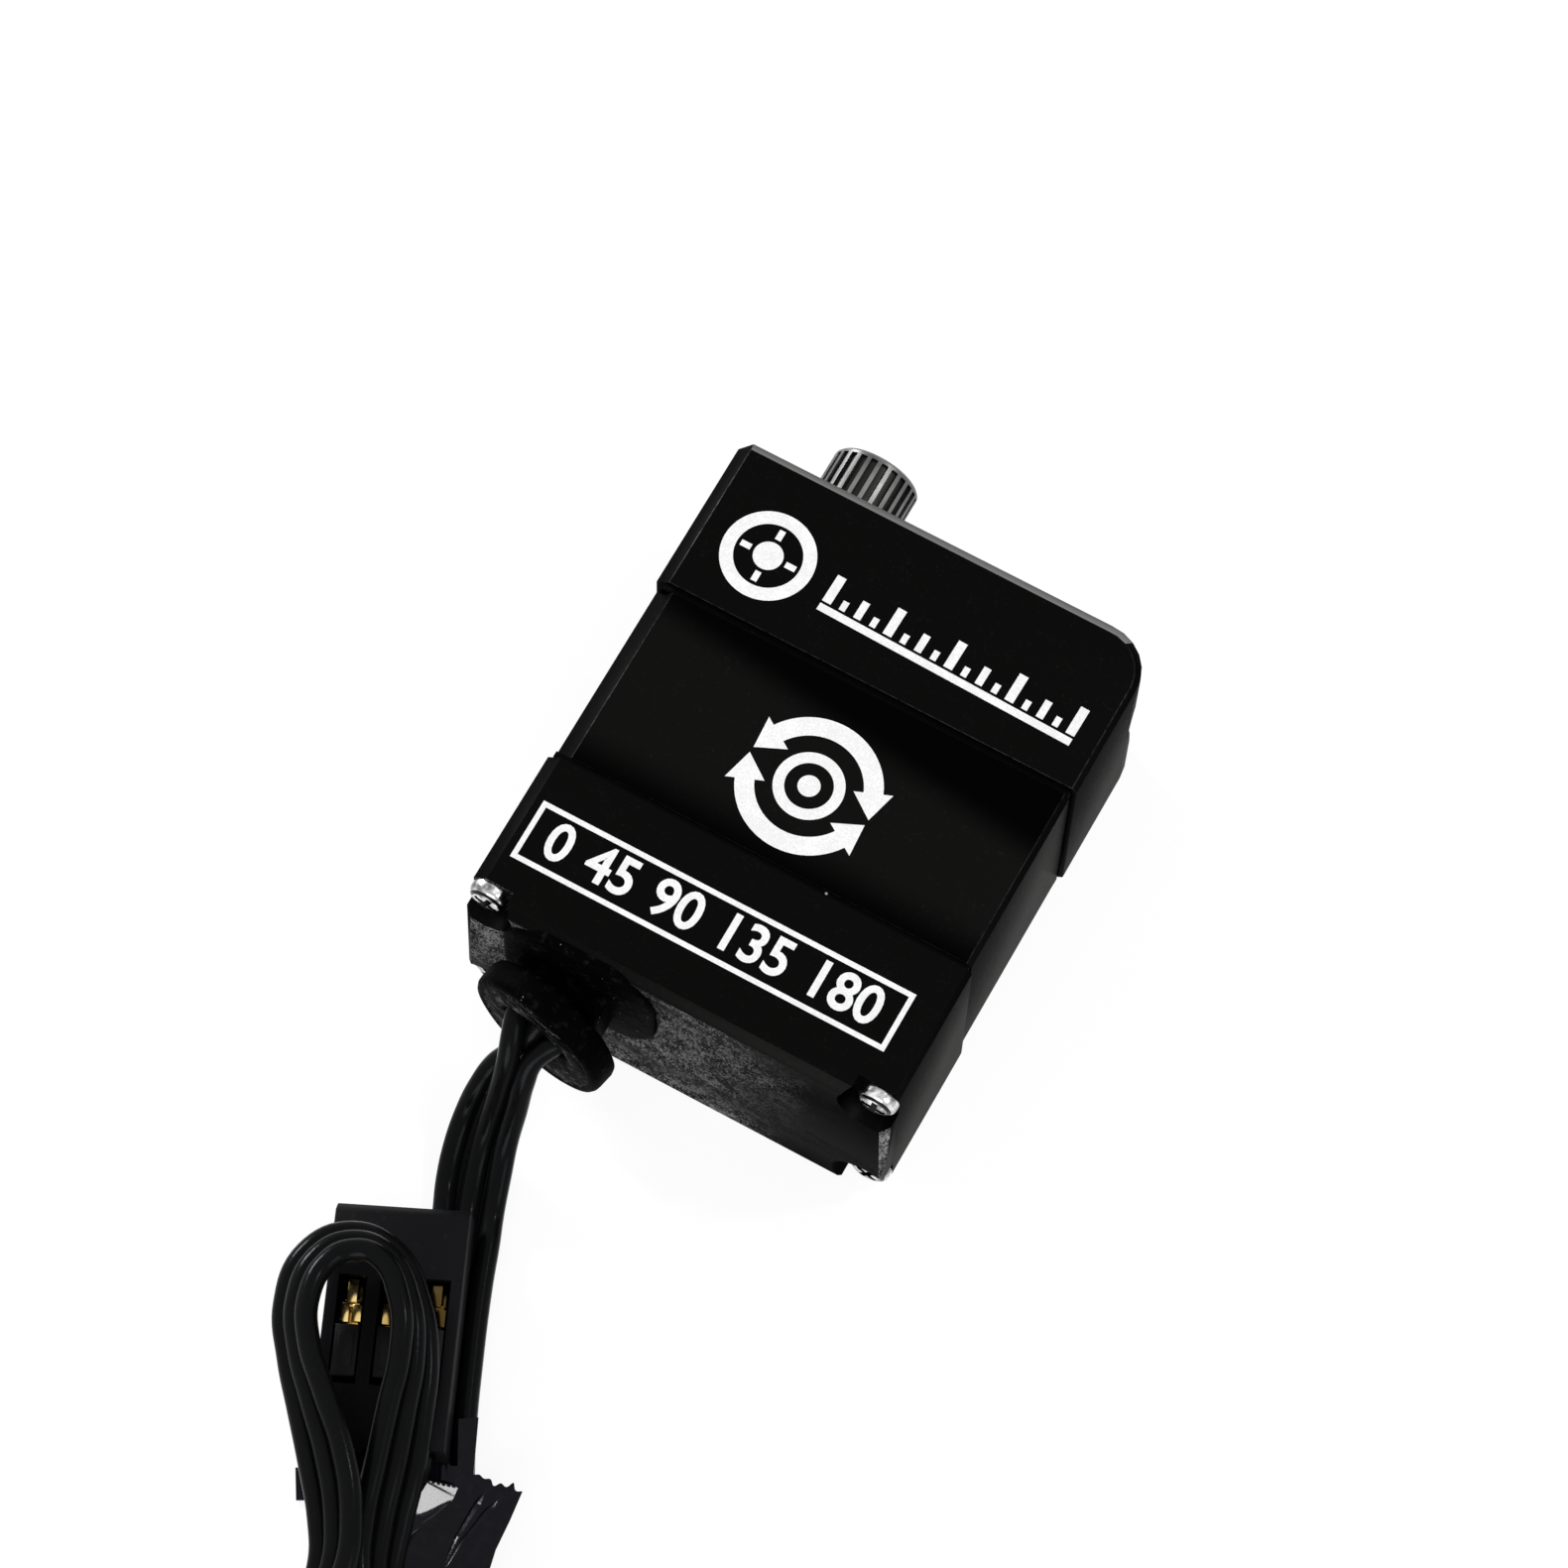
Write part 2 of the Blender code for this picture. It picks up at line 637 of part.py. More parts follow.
def make_case_screws():
    seat = POCKET_DEPTH - TOUCH_GAP / 3
    crown = HEAD_TOP
    profile = [(0, crown), (0.75 * MM, crown + 0.05 * MM), (1.12 * MM, crown + 0.22 * MM),
               (SCREW_HEAD, crown + 0.5 * MM), (SCREW_HEAD, seat), (SCREW_SHANK, seat),
               (SCREW_SHANK, SCREW_TIP - 0.5 * MM), (0, SCREW_TIP)]
    for number, (x, z) in enumerate(screw_places(), 1):
        screw = turned(f"case_screw_{number}", x, profile, z=z, sides=20, material=PLATED)
        cut(screw, *cross_slot(f"case_screw_{number}", x, z,
                               (-1 * MM, crown + 0.55 * MM), (0.78 * MM, 0.17 * MM)))


# ---------------------------------------------------------------- gear train

def make_gears():
    """Phases put a tooth of one gear in a gap of the next, along the line of centres."""
    half_turn = math.pi
    bore = rod("pin_a_gear_bore", PIN_X, *GEAR_ROOM, PIN_RADIUS + RUNNING_GAP,
               sides=20, collection=CUTTERS)
    bore_b = rod("pin_b_gear_bore", MOTOR_X, *GEAR_ROOM, PIN_RADIUS + RUNNING_GAP,
                 sides=20, collection=CUTTERS)
    gear_1 = disc_with_teeth("first_gear", FIRST_TEETH, FIRST_MODULE, *LAYER_1, PIN_X,
                             0.0, BRASS)
    small_1 = disc_with_teeth("first_gear_small", FIRST_SMALL_TEETH, SECOND_MODULE,
                              LAYER_1[1] - SMALL_GEAR_SINK, LAYER_2[1], PIN_X, 0.0,
                              collection=CUTTERS)
    cut(join(gear_1, small_1), bore)
    gap_2 = half_turn + math.pi / SECOND_TEETH
    gear_2 = disc_with_teeth("second_gear", SECOND_TEETH, SECOND_MODULE, *LAYER_2,
                             MOTOR_X, gap_2, BRASS)
    small_2 = disc_with_teeth("second_gear_small", SECOND_SMALL_TEETH, THIRD_MODULE,
                              LAYER_2[1] - SMALL_GEAR_SINK, LAYER_3[1], MOTOR_X, half_turn,
                              collection=CUTTERS)
    cut(join(gear_2, small_2), bore_b)
    gap_3 = math.pi / THIRD_TEETH
    gear_3 = disc_with_teeth("third_gear", THIRD_TEETH, THIRD_MODULE, *LAYER_3, PIN_X,
                             gap_3, BRASS)
    small_3 = disc_with_teeth("third_gear_small", THIRD_SMALL_TEETH, OUTPUT_MODULE,
                              LAYER_3[1] - SMALL_GEAR_SINK, LAYER_4[1], PIN_X, half_turn,
                              collection=CUTTERS)
    cut(join(gear_3, small_3), bore)
    gap_out = math.pi / OUTPUT_TEETH
    output = disc_with_teeth("output_gear", OUTPUT_TEETH, OUTPUT_MODULE, *LAYER_4,
                             OUTPUT_X, gap_out, STEEL)
    seat = rod("output_gear_bore", OUTPUT_X, *GEAR_ROOM, GEAR_SEAT, sides=32,
               collection=CUTTERS)
    cut(output, seat)
    gap_pinion = half_turn + math.pi / PINION_TEETH
    pinion = disc_with_teeth("motor_pinion", PINION_TEETH, FIRST_MODULE, *PINION,
                             MOTOR_X, gap_pinion, BRASS, root=1.0)
    eye = rod("pinion_bore", MOTOR_X, *GEAR_ROOM, MOTOR_SHAFT + 0.06 * MM, sides=12,
              collection=CUTTERS)
    cut(pinion, eye)


def make_gear_pins():
    rod("gear_pin_a", PIN_X, *PIN_A, PIN_RADIUS, sides=20, material=STEEL)
    rod("gear_pin_b", MOTOR_X, *PIN_B, PIN_RADIUS, sides=20, material=STEEL)


def make_output_shaft():
    tip = CASE_HEIGHT + SPLINE_OUT
    profile = [(0, SOCKET_TOP), (SOCKET_RADIUS, SOCKET_TOP), (SOCKET_RADIUS, SHAFT_FOOT),
               (2.42 * MM, SHAFT_FOOT), (2.42 * MM, 23.9 * MM), (2.5 * MM, 24.1 * MM),
               (2.5 * MM, 31.15 * MM), (2.9 * MM, 31.15 * MM), (2.9 * MM, 34.2 * MM),
               (3.25 * MM, 34.5 * MM), (3.25 * MM, 34.9 * MM),
               (SPLINE_COLLAR, 35.3 * MM), (SPLINE_COLLAR, 35.6 * MM),
               (SPLINE_ROOT, 35.75 * MM), (SPLINE_ROOT, tip - 0.15 * MM),
               (SPLINE_ROOT - 0.15 * MM, tip), (HORN_HOLE, tip),
               (HORN_HOLE, tip - HORN_HOLE_DEPTH), (0, tip - HORN_HOLE_DEPTH)]
    shaft = turned("output_shaft", OUTPUT_X, profile, sides=36, material=STEEL)
    module = 2 * SPLINE_RADIUS / (SPLINE_TEETH + 2 * 0.5)
    root = (SPLINE_TEETH * module / 2 - (SPLINE_ROOT - 0.1 * MM)) / module
    spline = disc_with_teeth("spline_teeth", SPLINE_TEETH, module, SPLINE_START,
                             tip - 0.2 * MM, OUTPUT_X, 0.0, collection=CUTTERS,
                             tip=0.5, root=root, width=0.5)
    core = rod("spline_core", OUTPUT_X, SPLINE_START - 1 * MM, tip + 1 * MM,
               SPLINE_ROOT - 0.4 * MM, sides=30, collection=CUTTERS)
    join(shaft, cut(spline, core))


def make_bearing(prefix, inner, outer, low, high):
    """A ball bearing as its two races and the ring of balls between them."""
    wall = (outer - inner) * 0.25
    middle = (inner + outer) / 2
    ball = (outer - inner) / 2 - wall - SEAT_GAP
    half = (low + high) / 2
    ring = [(inner, low), (inner, high), (inner + wall, high), (inner + wall, low)]
    turned(f"{prefix}_bearing_inner_race", OUTPUT_X, ring, closed=True, sides=28,
           material=STEEL)
    ring = [(outer - wall, low), (outer - wall, high), (outer, high), (outer, low)]
    turned(f"{prefix}_bearing_outer_race", OUTPUT_X, ring, closed=True, sides=28,
           material=STEEL)
    step = 2 * math.pi / BALL_SIDES
    balls = [(middle + ball * math.cos(step * n), half + ball * math.sin(step * n))
             for n in range(BALL_SIDES)]
    turned(f"{prefix}_bearing_ball_ring", OUTPUT_X, balls, closed=True, sides=28,
           material=STEEL)


# ---------------------------------------------------------------- motor

def make_motor():
    low, high, wall, radius = CAN_LOW, CAN_HIGH, CAN_WALL, CAN_RADIUS
    can = turned("motor_can", MOTOR_X, [
        (0.65 * MM, high - wall), (0.65 * MM, high + 0.7 * MM),
        (1.5 * MM, high + 0.7 * MM), (1.5 * MM, high), (radius - 0.4 * MM, high),
        (radius, high - 0.4 * MM), (radius, low), (radius - wall, low),
        (radius - wall, high - wall)], closed=True, sides=40, material=CAN)
    cut(can, *motor_screw_tools("can", high - BEYOND, high + BEYOND))
    cap = turned("motor_end_cap", MOTOR_X, [
        (0.62 * MM, 5.9 * MM), (0.62 * MM, 7.1 * MM), (5.4 * MM, 7.1 * MM),
        (5.4 * MM, 5.2 * MM), (2.0 * MM, 5.2 * MM), (2.0 * MM, 5.9 * MM)],
        closed=True, sides=32, material=PLASTIC)
    cut(cap, *[terminal_block(f"terminal_slot_{n}", sign, 4 * MM, 8 * MM, 0.2 * MM, None,
                              CUTTERS) for n, sign in enumerate((1, -1), 1)])
    turned("motor_magnet", MOTOR_X, [(0.9 * MM, 9.3 * MM), (0.9 * MM, 19.7 * MM),
                                     (3.8 * MM, 19.7 * MM), (3.8 * MM, 9.3 * MM)],
           closed=True, sides=28, material=CAN)
    turned("motor_winding", MOTOR_X, [
        (0.55 * MM, 7.9 * MM), (0.55 * MM, 8.8 * MM), (4.25 * MM, 8.8 * MM),
        (4.25 * MM, 18.8 * MM), (4.95 * MM, 18.8 * MM), (4.95 * MM, 7.9 * MM)],
        closed=True, sides=32, material=COPPER)
    rod("motor_shaft", MOTOR_X, 6.2 * MM, PINION[1] - 0.05 * MM, MOTOR_SHAFT, sides=12,
        material=STEEL)
    for number, sign in enumerate((1, -1), 1):
        terminal_block(f"motor_terminal_{number}", sign, 3.95 * MM, 6.9 * MM, 0.0,
                       COPPER, PARTS)
        make_motor_screw(number, MID_Z + sign * MOTOR_SCREW_Z)


def terminal_block(name, sign, low, high, grow, material, collection):
    half_x, half_z = (half + grow for half in TERMINAL_HALF)
    z = MID_Z + sign * TERMINAL_Z
    return block(name, (MOTOR_X - half_x, up(low), z - half_z),
                 (MOTOR_X + half_x, up(high), z + half_z), material, collection)


def make_motor_screw(number, z):
    """A pan head on the gear plate, with its shank down into the motor can."""
    seat = PLATE_TOP + 0.1 * MM
    profile = [(0, seat + 0.65 * MM), (0.9 * MM, seat + 0.57 * MM),
               (1.25 * MM, seat + 0.3 * MM), (1.25 * MM, seat), (0.6 * MM, seat),
               (0.6 * MM, CAN_HIGH - 0.1 * MM), (0, CAN_HIGH - 0.3 * MM)]
    screw = turned(f"motor_screw_{number}", MOTOR_X, profile, z=z, sides=16,
                   material=PLATED)
    cut(screw, *cross_slot(f"motor_screw_{number}", MOTOR_X, z,
                           (seat + 0.25 * MM, seat + BEYOND), (0.7 * MM, 0.15 * MM)))


# ---------------------------------------------------------------- electronics

def make_feedback_sensor():
    turned("feedback_pot_body", OUTPUT_X, [
        (0, 14.0 * MM), (3.9 * MM, 14.0 * MM), (3.9 * MM, 18.7 * MM),
        (1.25 * MM, 18.7 * MM), (1.25 * MM, 19.4 * MM), (4.5 * MM, 19.4 * MM),
        (4.5 * MM, 13.4 * MM), (0, 13.4 * MM)], sides=28, material=PLASTIC)
    turned("feedback_pot_wiper", OUTPUT_X, [
        (0, 14.4 * MM), (0.8 * MM, 14.4 * MM), (0.8 * MM, 16.2 * MM),
        (3.5 * MM, 16.2 * MM), (3.5 * MM, 16.8 * MM), (1.05 * MM, 16.8 * MM),
        (1.05 * MM, 22.8 * MM), (0, 22.8 * MM)], sides=20, material=STEEL)
    for number, offset in enumerate((-2.5 * MM, 0, 2.5 * MM), 1):
        rod(f"feedback_lead_{number}", OUTPUT_X + offset, 4.0 * MM, 13.1 * MM,
            0.3 * MM, z=MID_Z + 2.0 * MM, sides=10, material=COPPER)


def make_board():
    half_x, half_z = BOARD_HALF
    board = block("circuit_board", (-half_x, up(BOARD_LOW), MID_Z - half_z),
                  (half_x, up(BOARD_HIGH), MID_Z + half_z), BOARD)
    notch = block("board_notch", (GROMMET_X - 3.2 * MM, up(BOARD_LOW - BEYOND),
                                  MID_Z + 2.6 * MM),
                  (GROMMET_X + 3.2 * MM, up(BOARD_HIGH + BEYOND), MID_Z + 6 * MM),
                  collection=CUTTERS)
    cut(board, notch)
    block("control_chip", (-0.6 * MM, up(CHIP_LOW), MID_Z - 2.5 * MM),
          (4.4 * MM, up(CHIP_LOW + 0.9 * MM), MID_Z + 2.5 * MM), PLASTIC)
    block("motor_driver_chip", (-12.4 * MM, up(CHIP_LOW), MID_Z - 3.9 * MM),
          (-8.4 * MM, up(CHIP_LOW + 1.2 * MM), MID_Z + 0.6 * MM), PLASTIC)
    rod("smoothing_capacitor", -3.6 * MM, CHIP_LOW, CHIP_LOW + 5.2 * MM, 2.0 * MM,
        z=MID_Z - 1.6 * MM, sides=24, material=CAN)


# ---------------------------------------------------------------- lead

def make_grommet():
    neck = rounded_prism("grommet", (GROMMET_X, SLOT_Z), (5.7 * MM, 4.1 * MM),
                         1.45 * MM, -2.6 * MM, END_WALL + 0.35 * MM, RUBBER, PARTS)
    pad = rounded_prism("grommet_pad", (-6.35 * MM, 9.9 * MM), (9.9 * MM, 8.0 * MM),
                        3.1 * MM, -0.4 * MM, 0.95 * MM)
    inside = rounded_prism("grommet_inner_lip", (GROMMET_X, SLOT_Z),
                           (7.4 * MM, 5.4 * MM), 1.6 * MM, END_WALL + 0.15 * MM,
                           END_WALL + 0.75 * MM)
    bm = bmesh.new()
    bmesh.ops.create_cone(bm, cap_ends=True, segments=32, radius1=FLANGE_RADIUS,
                          radius2=FLANGE_RADIUS, depth=FLANGE_THICK)
    bmesh.ops.rotate(bm, matrix=Matrix.Rotation(math.radians(90), 3, "X"),
                     verts=bm.verts[:])
    flange = add_object("grommet_flange", mesh_from(bm, "grommet_flange"), None, CUTTERS)
    flange.location = (FLANGE_CENTRE[0], up(FLANGE_CENTRE[1]), FLANGE_CENTRE[2])
    flange.rotation_euler = (0, 0, -GROMMET_TURN)
    throat = rounded_prism("grommet_throat", (GROMMET_X - 0.2 * MM, 8.2 * MM),
                           (4.6 * MM, 1.8 * MM), 0.8 * MM, -6 * MM, 4 * MM)
    cut(join(neck, pad, inside, flange), throat)


def level(turn):
    """Directions along and across something that lies on the table at an angle."""
    along = Vector((math.sin(turn), -math.cos(turn), 0))
    across = Vector((math.cos(turn), math.sin(turn), 0))
    return along, across


def lead_route():
    """Middle of the lead, from the grommet down to the table and on to the hank."""
    chosen = [(-8.0, -4.15, 7.6), (-8.4, -5.4, 6.5), (-8.6, -7.0, 4.3),
              (-8.3, -9.2, 2.1), (-7.7, -11.2, 1.0), (-7.0, -13.4, 0.7),
              (-5.4, -17.2, 0.7), (-3.1, -22.0, 0.7), (-0.9, -26.8, 0.7),
              (1.2, -31.4, 0.7), (3.0, -35.6, 0.7), (4.4, -39.0, 0.7)]
    points = [(x * MM, up(y * MM), z * MM) for x, y, z in chosen]
    return smooth_route(points, 2.2 * MM)


def make_lead():
    route = lead_route()
    for name, place in (("lead_wire_signal", 1), ("lead_wire_positive", 0),
                        ("lead_wire_negative", -1)):
        tube(name, side_offset(route, place * WIRE_PITCH), WIRE_CORE, INSULATION)


def plug_matrix():
    """Plug frame: X across its width, Y towards its mating end, Z out of its face."""
    along, across = level(PLUG_TURN)
    middle = Vector((PLUG_TOP_MIDDLE[0], up(PLUG_TOP_MIDDLE[1]), PLUG_LIFT))
    middle += along * PLUG_SIZE[1] / 2
    turn = Matrix.Rotation(PLUG_TURN, 4, "Z")
    roll = Matrix.Rotation(PLUG_ROLL, 4, "Y")
    return Matrix.Translation(middle) @ turn @ roll


def plug_box(name, low, high, material=None, collection=PARTS):
    thing = block(name, low, high, material, collection)
    thing.matrix_world = plug_matrix()
    return thing


def make_plug():
    half_x, half_y, half_z = (size / 2 for size in PLUG_SIZE)
    housing = plug_box("plug_housing", (-half_x, -half_y - PLUG_TAIL, -half_z),
                       (half_x, half_y, half_z), PLASTIC)
    for number, x in enumerate((-PLUG_PITCH, 0, PLUG_PITCH), 1):
        lane = plug_box(f"plug_lane_{number}",
                        (x - LANE_HALF, -half_y - PLUG_TAIL - BEYOND, -0.85 * MM),
                        (x + LANE_HALF, half_y + BEYOND, 0.75 * MM), collection=CUTTERS)
        window = plug_box(f"plug_window_{number}", (x - WINDOW_HALF, -4.4 * MM, 0),
                          (x + WINDOW_HALF, 2.4 * MM, half_z + BEYOND),
                          collection=CUTTERS)
        cut(housing, lane, window)
        contact = plug_box(f"plug_contact_{number}", (x - CONTACT_HALF, -1.2 * MM, -0.7 * MM),
                           (x + CONTACT_HALF, 6.4 * MM, 0.55 * MM), GOLD)
        bore = plug_box(f"contact_bore_{number}", (x - 0.45 * MM, 0.5 * MM, -0.4 * MM),
                        (x + 0.45 * MM, 8 * MM, 0.3 * MM), collection=CUTTERS)
        crimp = plug_box(f"contact_crimp_{number}", (x - 0.5 * MM, -4.6 * MM, -0.6 * MM),
                         (x + 0.5 * MM, -1.0 * MM, 0.35 * MM), collection=CUTTERS)
        join(contact, crimp)
        cut(contact, bore)


def make_plug_wires():
    """Short stretches from the back of the plug to the hank above them."""
    back = plug_matrix()
    for number, x in enumerate((-PLUG_PITCH, 0, PLUG_PITCH), 1):
        start = back @ Vector((x, -PLUG_SIZE[1] / 2 + 0.8 * MM, -0.05 * MM))
        out = back @ Vector((x * 0.97, -PLUG_SIZE[1] / 2 - 2.0 * MM, -0.05 * MM))
        end = back @ Vector((x * 0.72, -PLUG_SIZE[1] / 2 - 4.4 * MM, -0.35 * MM))
        tube(f"plug_wire_{number}", smooth_route([start, out, end], 1.5 * MM),
             WIRE_CORE, INSULATION)


def hank_profile():
    """Side view of the hank: over the plug, then down to the table, round at the ends."""
    under = [(0.8, 5.3), (9.0, 5.2), (15.5, 5.0), (18.5, 4.3), (22.0, 3.0),
             (25.5, 1.8), (28.5, 1.2), (35.2, 1.2)]
    thick = HANK_THICK / MM
    over = [(s, z + thick) for s, z in reversed(under)]
    far_end = [(HANK_LENGTH / MM, 2.2), (HANK_LENGTH / MM, 4.4)]
    near_end = [(0.0, 8.5), (0.0, 6.2)]
    return [(s * MM, z * MM) for s, z in under + far_end + over + near_end]


def make_hank():
    hank = solid_from_outline("lead_hank", [hank_profile()], -HANK_HALF_WIDTH,
                              HANK_HALF_WIDTH, INSULATION)
    forward, side = level(HANK_TURN)
    start = Vector((HANK_START[0], up(HANK_START[1]), 0))
    columns = (forward, -side, Vector((0, 0, 1)), start)
    hank.matrix_world = Matrix([[c[row] for c in columns] for row in range(3)]
                               + [[0, 0, 0, 1]])


def make_tie():
    """A strap round the hank, with its free end lying towards the servo."""
    forward, side = level(HANK_TURN)
    start = Vector((HANK_START[0], up(HANK_START[1]), 0))
    columns = (side, -forward, Vector((0, 0, 1)), start)
    frame = Matrix([[c[row] for c in columns] for row in range(3)] + [[0, 0, 0, 1]])
    band = block("lead_tie", (-5.8 * MM, -34.0 * MM, 0.3 * MM),
                 (5.8 * MM, -29.0 * MM, 6.2 * MM), STRAP)
    gap = block("tie_inside", (-5.3 * MM, -35.0 * MM, 0.8 * MM),
                (5.3 * MM, -28.0 * MM, 5.7 * MM), collection=CUTTERS)
    for thing in (band, gap):
        thing.matrix_world = frame
    outline = [(s * MM, -v * MM) for s, v in TIE_TAIL]
    tail = solid_from_outline("tie_tail", [outline], 1.6 * MM, 2.3 * MM,
                              collection=CUTTERS)
    columns = (forward, Vector((0, 0, 1)), -side, start)
    tail.matrix_world = Matrix([[c[row] for c in columns] for row in range(3)]
                               + [[0, 0, 0, 1]])
    join(cut(band, gap), tail)


def build():
    make_gear_case()
    make_middle_case()
    make_bottom_cover()
    make_gaskets()
    make_case_screws()
    make_gears()
    make_gear_pins()
    make_output_shaft()
    make_bearing("upper", *UPPER_BEARING)
    make_bearing("lower", *LOWER_BEARING)
    make_motor()
    make_feedback_sensor()
    make_board()
    make_grommet()
    make_lead()
    make_plug()
    make_plug_wires()
    make_hank()
    make_tie()


build()
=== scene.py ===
# %% [markdown]
# A mini hobby servo lies on its rear face with its three-wire lead folded into a hank.
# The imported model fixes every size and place, so each piece below is built from its
# boxes. Lengths are in metres, +Z is up, +Y runs along the output shaft and +X is right.

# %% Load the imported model
import math

import bmesh
import bpy
from mathutils import Matrix, Vector, geometry


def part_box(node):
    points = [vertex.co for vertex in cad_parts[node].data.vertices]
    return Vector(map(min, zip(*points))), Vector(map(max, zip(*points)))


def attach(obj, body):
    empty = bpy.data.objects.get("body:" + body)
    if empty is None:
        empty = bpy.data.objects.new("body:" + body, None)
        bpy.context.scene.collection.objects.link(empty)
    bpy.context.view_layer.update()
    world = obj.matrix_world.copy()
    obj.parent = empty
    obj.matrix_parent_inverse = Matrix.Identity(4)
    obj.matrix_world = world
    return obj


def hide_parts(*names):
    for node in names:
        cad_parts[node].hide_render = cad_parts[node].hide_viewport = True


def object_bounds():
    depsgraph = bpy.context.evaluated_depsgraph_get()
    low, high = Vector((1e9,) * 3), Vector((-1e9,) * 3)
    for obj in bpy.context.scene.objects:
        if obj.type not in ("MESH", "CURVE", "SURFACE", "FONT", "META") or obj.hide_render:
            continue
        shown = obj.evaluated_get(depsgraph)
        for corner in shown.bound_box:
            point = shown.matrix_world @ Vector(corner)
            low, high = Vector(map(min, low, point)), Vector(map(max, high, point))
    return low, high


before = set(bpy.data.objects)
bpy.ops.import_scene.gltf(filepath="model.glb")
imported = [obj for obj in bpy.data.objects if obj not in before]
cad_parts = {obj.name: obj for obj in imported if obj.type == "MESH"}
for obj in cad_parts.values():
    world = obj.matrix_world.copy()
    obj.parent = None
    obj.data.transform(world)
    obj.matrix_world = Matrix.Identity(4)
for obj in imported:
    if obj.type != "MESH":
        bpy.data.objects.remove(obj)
CAD_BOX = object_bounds()
MM = 0.001

# %% [markdown]
# The case gives the lines that everything else is set out from: its lower end and the
# two seams between its three sections. Places are then written in millimetres from them.

# %% Measure the case
END_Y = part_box("bottom_cover")[0].y
LOWER_SEAM, UPPER_SEAM = [corner.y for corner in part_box("middle_case")]


def place(x, up, z):
    """A point from millimetres: across, up from the lower end of the case, and height."""
    return Vector((x * MM, END_Y + up * MM, z * MM))


print("seams", [round((y - END_Y) / MM, 2) for y in (LOWER_SEAM, UPPER_SEAM)])

# %% [markdown]
# The camera looks down on the servo from its lower right, with a long lens so that the
# edges stay almost parallel. Its turn is given by its own right, up and back directions.

# %% Camera
def configured(thing, **settings):
    """A thing with several of its properties set."""
    for label, value in settings.items():
        setattr(thing, label, value)
    return thing


def new_object(name, data, collection=bpy.context.scene.collection):
    """An object that shows some data."""
    thing = bpy.data.objects.new(name, data)
    collection.objects.link(thing)
    return thing


lens = configured(bpy.data.cameras.new("camera"), lens=136.62, sensor_width=36.0,
                  clip_start=0.01, clip_end=5.0)
camera = new_object("camera", lens)
right = Vector((0.8753, 0.48322, 0.01879))
upward = Vector((-0.45291, 0.80553, 0.38209))
backward = Vector((0.1695, -0.34296, 0.92393))
turn = Matrix((right, upward, backward)).transposed()
camera.matrix_world = Matrix.Translation(place(59.481, -107.046, 345.311)) @ turn.to_4x4()
bpy.context.scene.camera = camera
print("camera at", [round(v, 3) for v in camera.location])

# %% [markdown]
# Small helpers keep the steps short. A finished bmesh becomes a piece that rides on a
# body of the model, takes a material slot, and can stand in for a plain CAD solid.

# %% Helpers for pieces
MERGE = 0.0005 * MM
PIECES = bpy.data.collections.new("visible_pieces")
bpy.context.scene.collection.children.link(PIECES)


def loose_object(name, bm):
    """Turn a bmesh into an object whose faces point outwards."""
    mesh = bpy.data.meshes.new(name)
    bmesh.ops.recalc_face_normals(bm, faces=bm.faces[:])
    bm.to_mesh(mesh)
    bm.free()
    return new_object(name, mesh, PIECES)


def shade(thing, sharp):
    """Shade smooth, except across edges sharper than an angle in degrees."""
    thing.data.shade_smooth()
    thing.data.set_sharp_from_angle(angle=math.radians(sharp))


def settle_piece(thing, material, slot=None, body="case", replaces=()):
    """Give a piece its finish and the body it rides on. The slot argument is not used."""
    thing.data.materials.clear()
    thing.data.materials.append(material)
    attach(thing, body)
    if replaces:
        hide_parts(*replaces)
    return thing


def make_piece(name, bm, material, sharp=35, **settings):
    """Close a bmesh into a finished piece in its final place."""
    bmesh.ops.remove_doubles(bm, verts=bm.verts[:], dist=MERGE)
    thing = loose_object(name, bm)
    shade(thing, sharp)
    return settle_piece(thing, material, **settings)


print("pieces go to", PIECES.name)

# %% [markdown]
# Most shapes start as a box with rounded edges or as a profile spun round an axis. Cuts
# are made with the Boolean modifier, and its result is kept as the piece's own mesh.

# %% Helpers for shapes
def round_edges(bm, edges, width, segments=2):
    return bmesh.ops.bevel(bm, geom=edges, offset=width, offset_type="OFFSET",
                           segments=segments, profile=0.5, affect="EDGES",
                           clamp_overlap=True, material=-1)


def box_bmesh(low, high, bevel=0.0, segments=2):
    """A box between two corners, with its edges rounded if asked."""
    bm = bmesh.new()
    bmesh.ops.create_cube(bm, size=1.0)
    bmesh.ops.scale(bm, vec=[b - a for a, b in zip(low, high)], verts=bm.verts[:])
    middle = [(a + b) / 2 for a, b in zip(low, high)]
    bmesh.ops.translate(bm, vec=middle, verts=bm.verts[:])
    if bevel:
        round_edges(bm, bm.edges[:], bevel, segments)
    return bm


def spun(profile, centre=(0, 0, 0), steps=48):
    """Spin (radius, distance along +Y) points, in millimetres, right round."""
    bm = bmesh.new()
    points = [bm.verts.new((radius * MM, along * MM, 0)) for radius, along in profile]
    edges = [bm.edges.new(pair) for pair in zip(points, points[1:])]
    bmesh.ops.spin(bm, geom=points + edges, cent=(0, 0, 0), axis=(0, 1, 0),
                   angle=2 * math.pi, steps=steps, use_merge=True)
    bmesh.ops.remove_doubles(bm, verts=bm.verts[:], dist=2 * MERGE)
    bmesh.ops.translate(bm, vec=centre, verts=bm.verts[:])
    return bm


def add_part(bm, part):
    """Add the faces of another bmesh."""
    mesh = bpy.data.meshes.new("part")
    part.to_mesh(mesh)
    bm.from_mesh(mesh)
    part.free()
    bpy.data.meshes.remove(mesh)


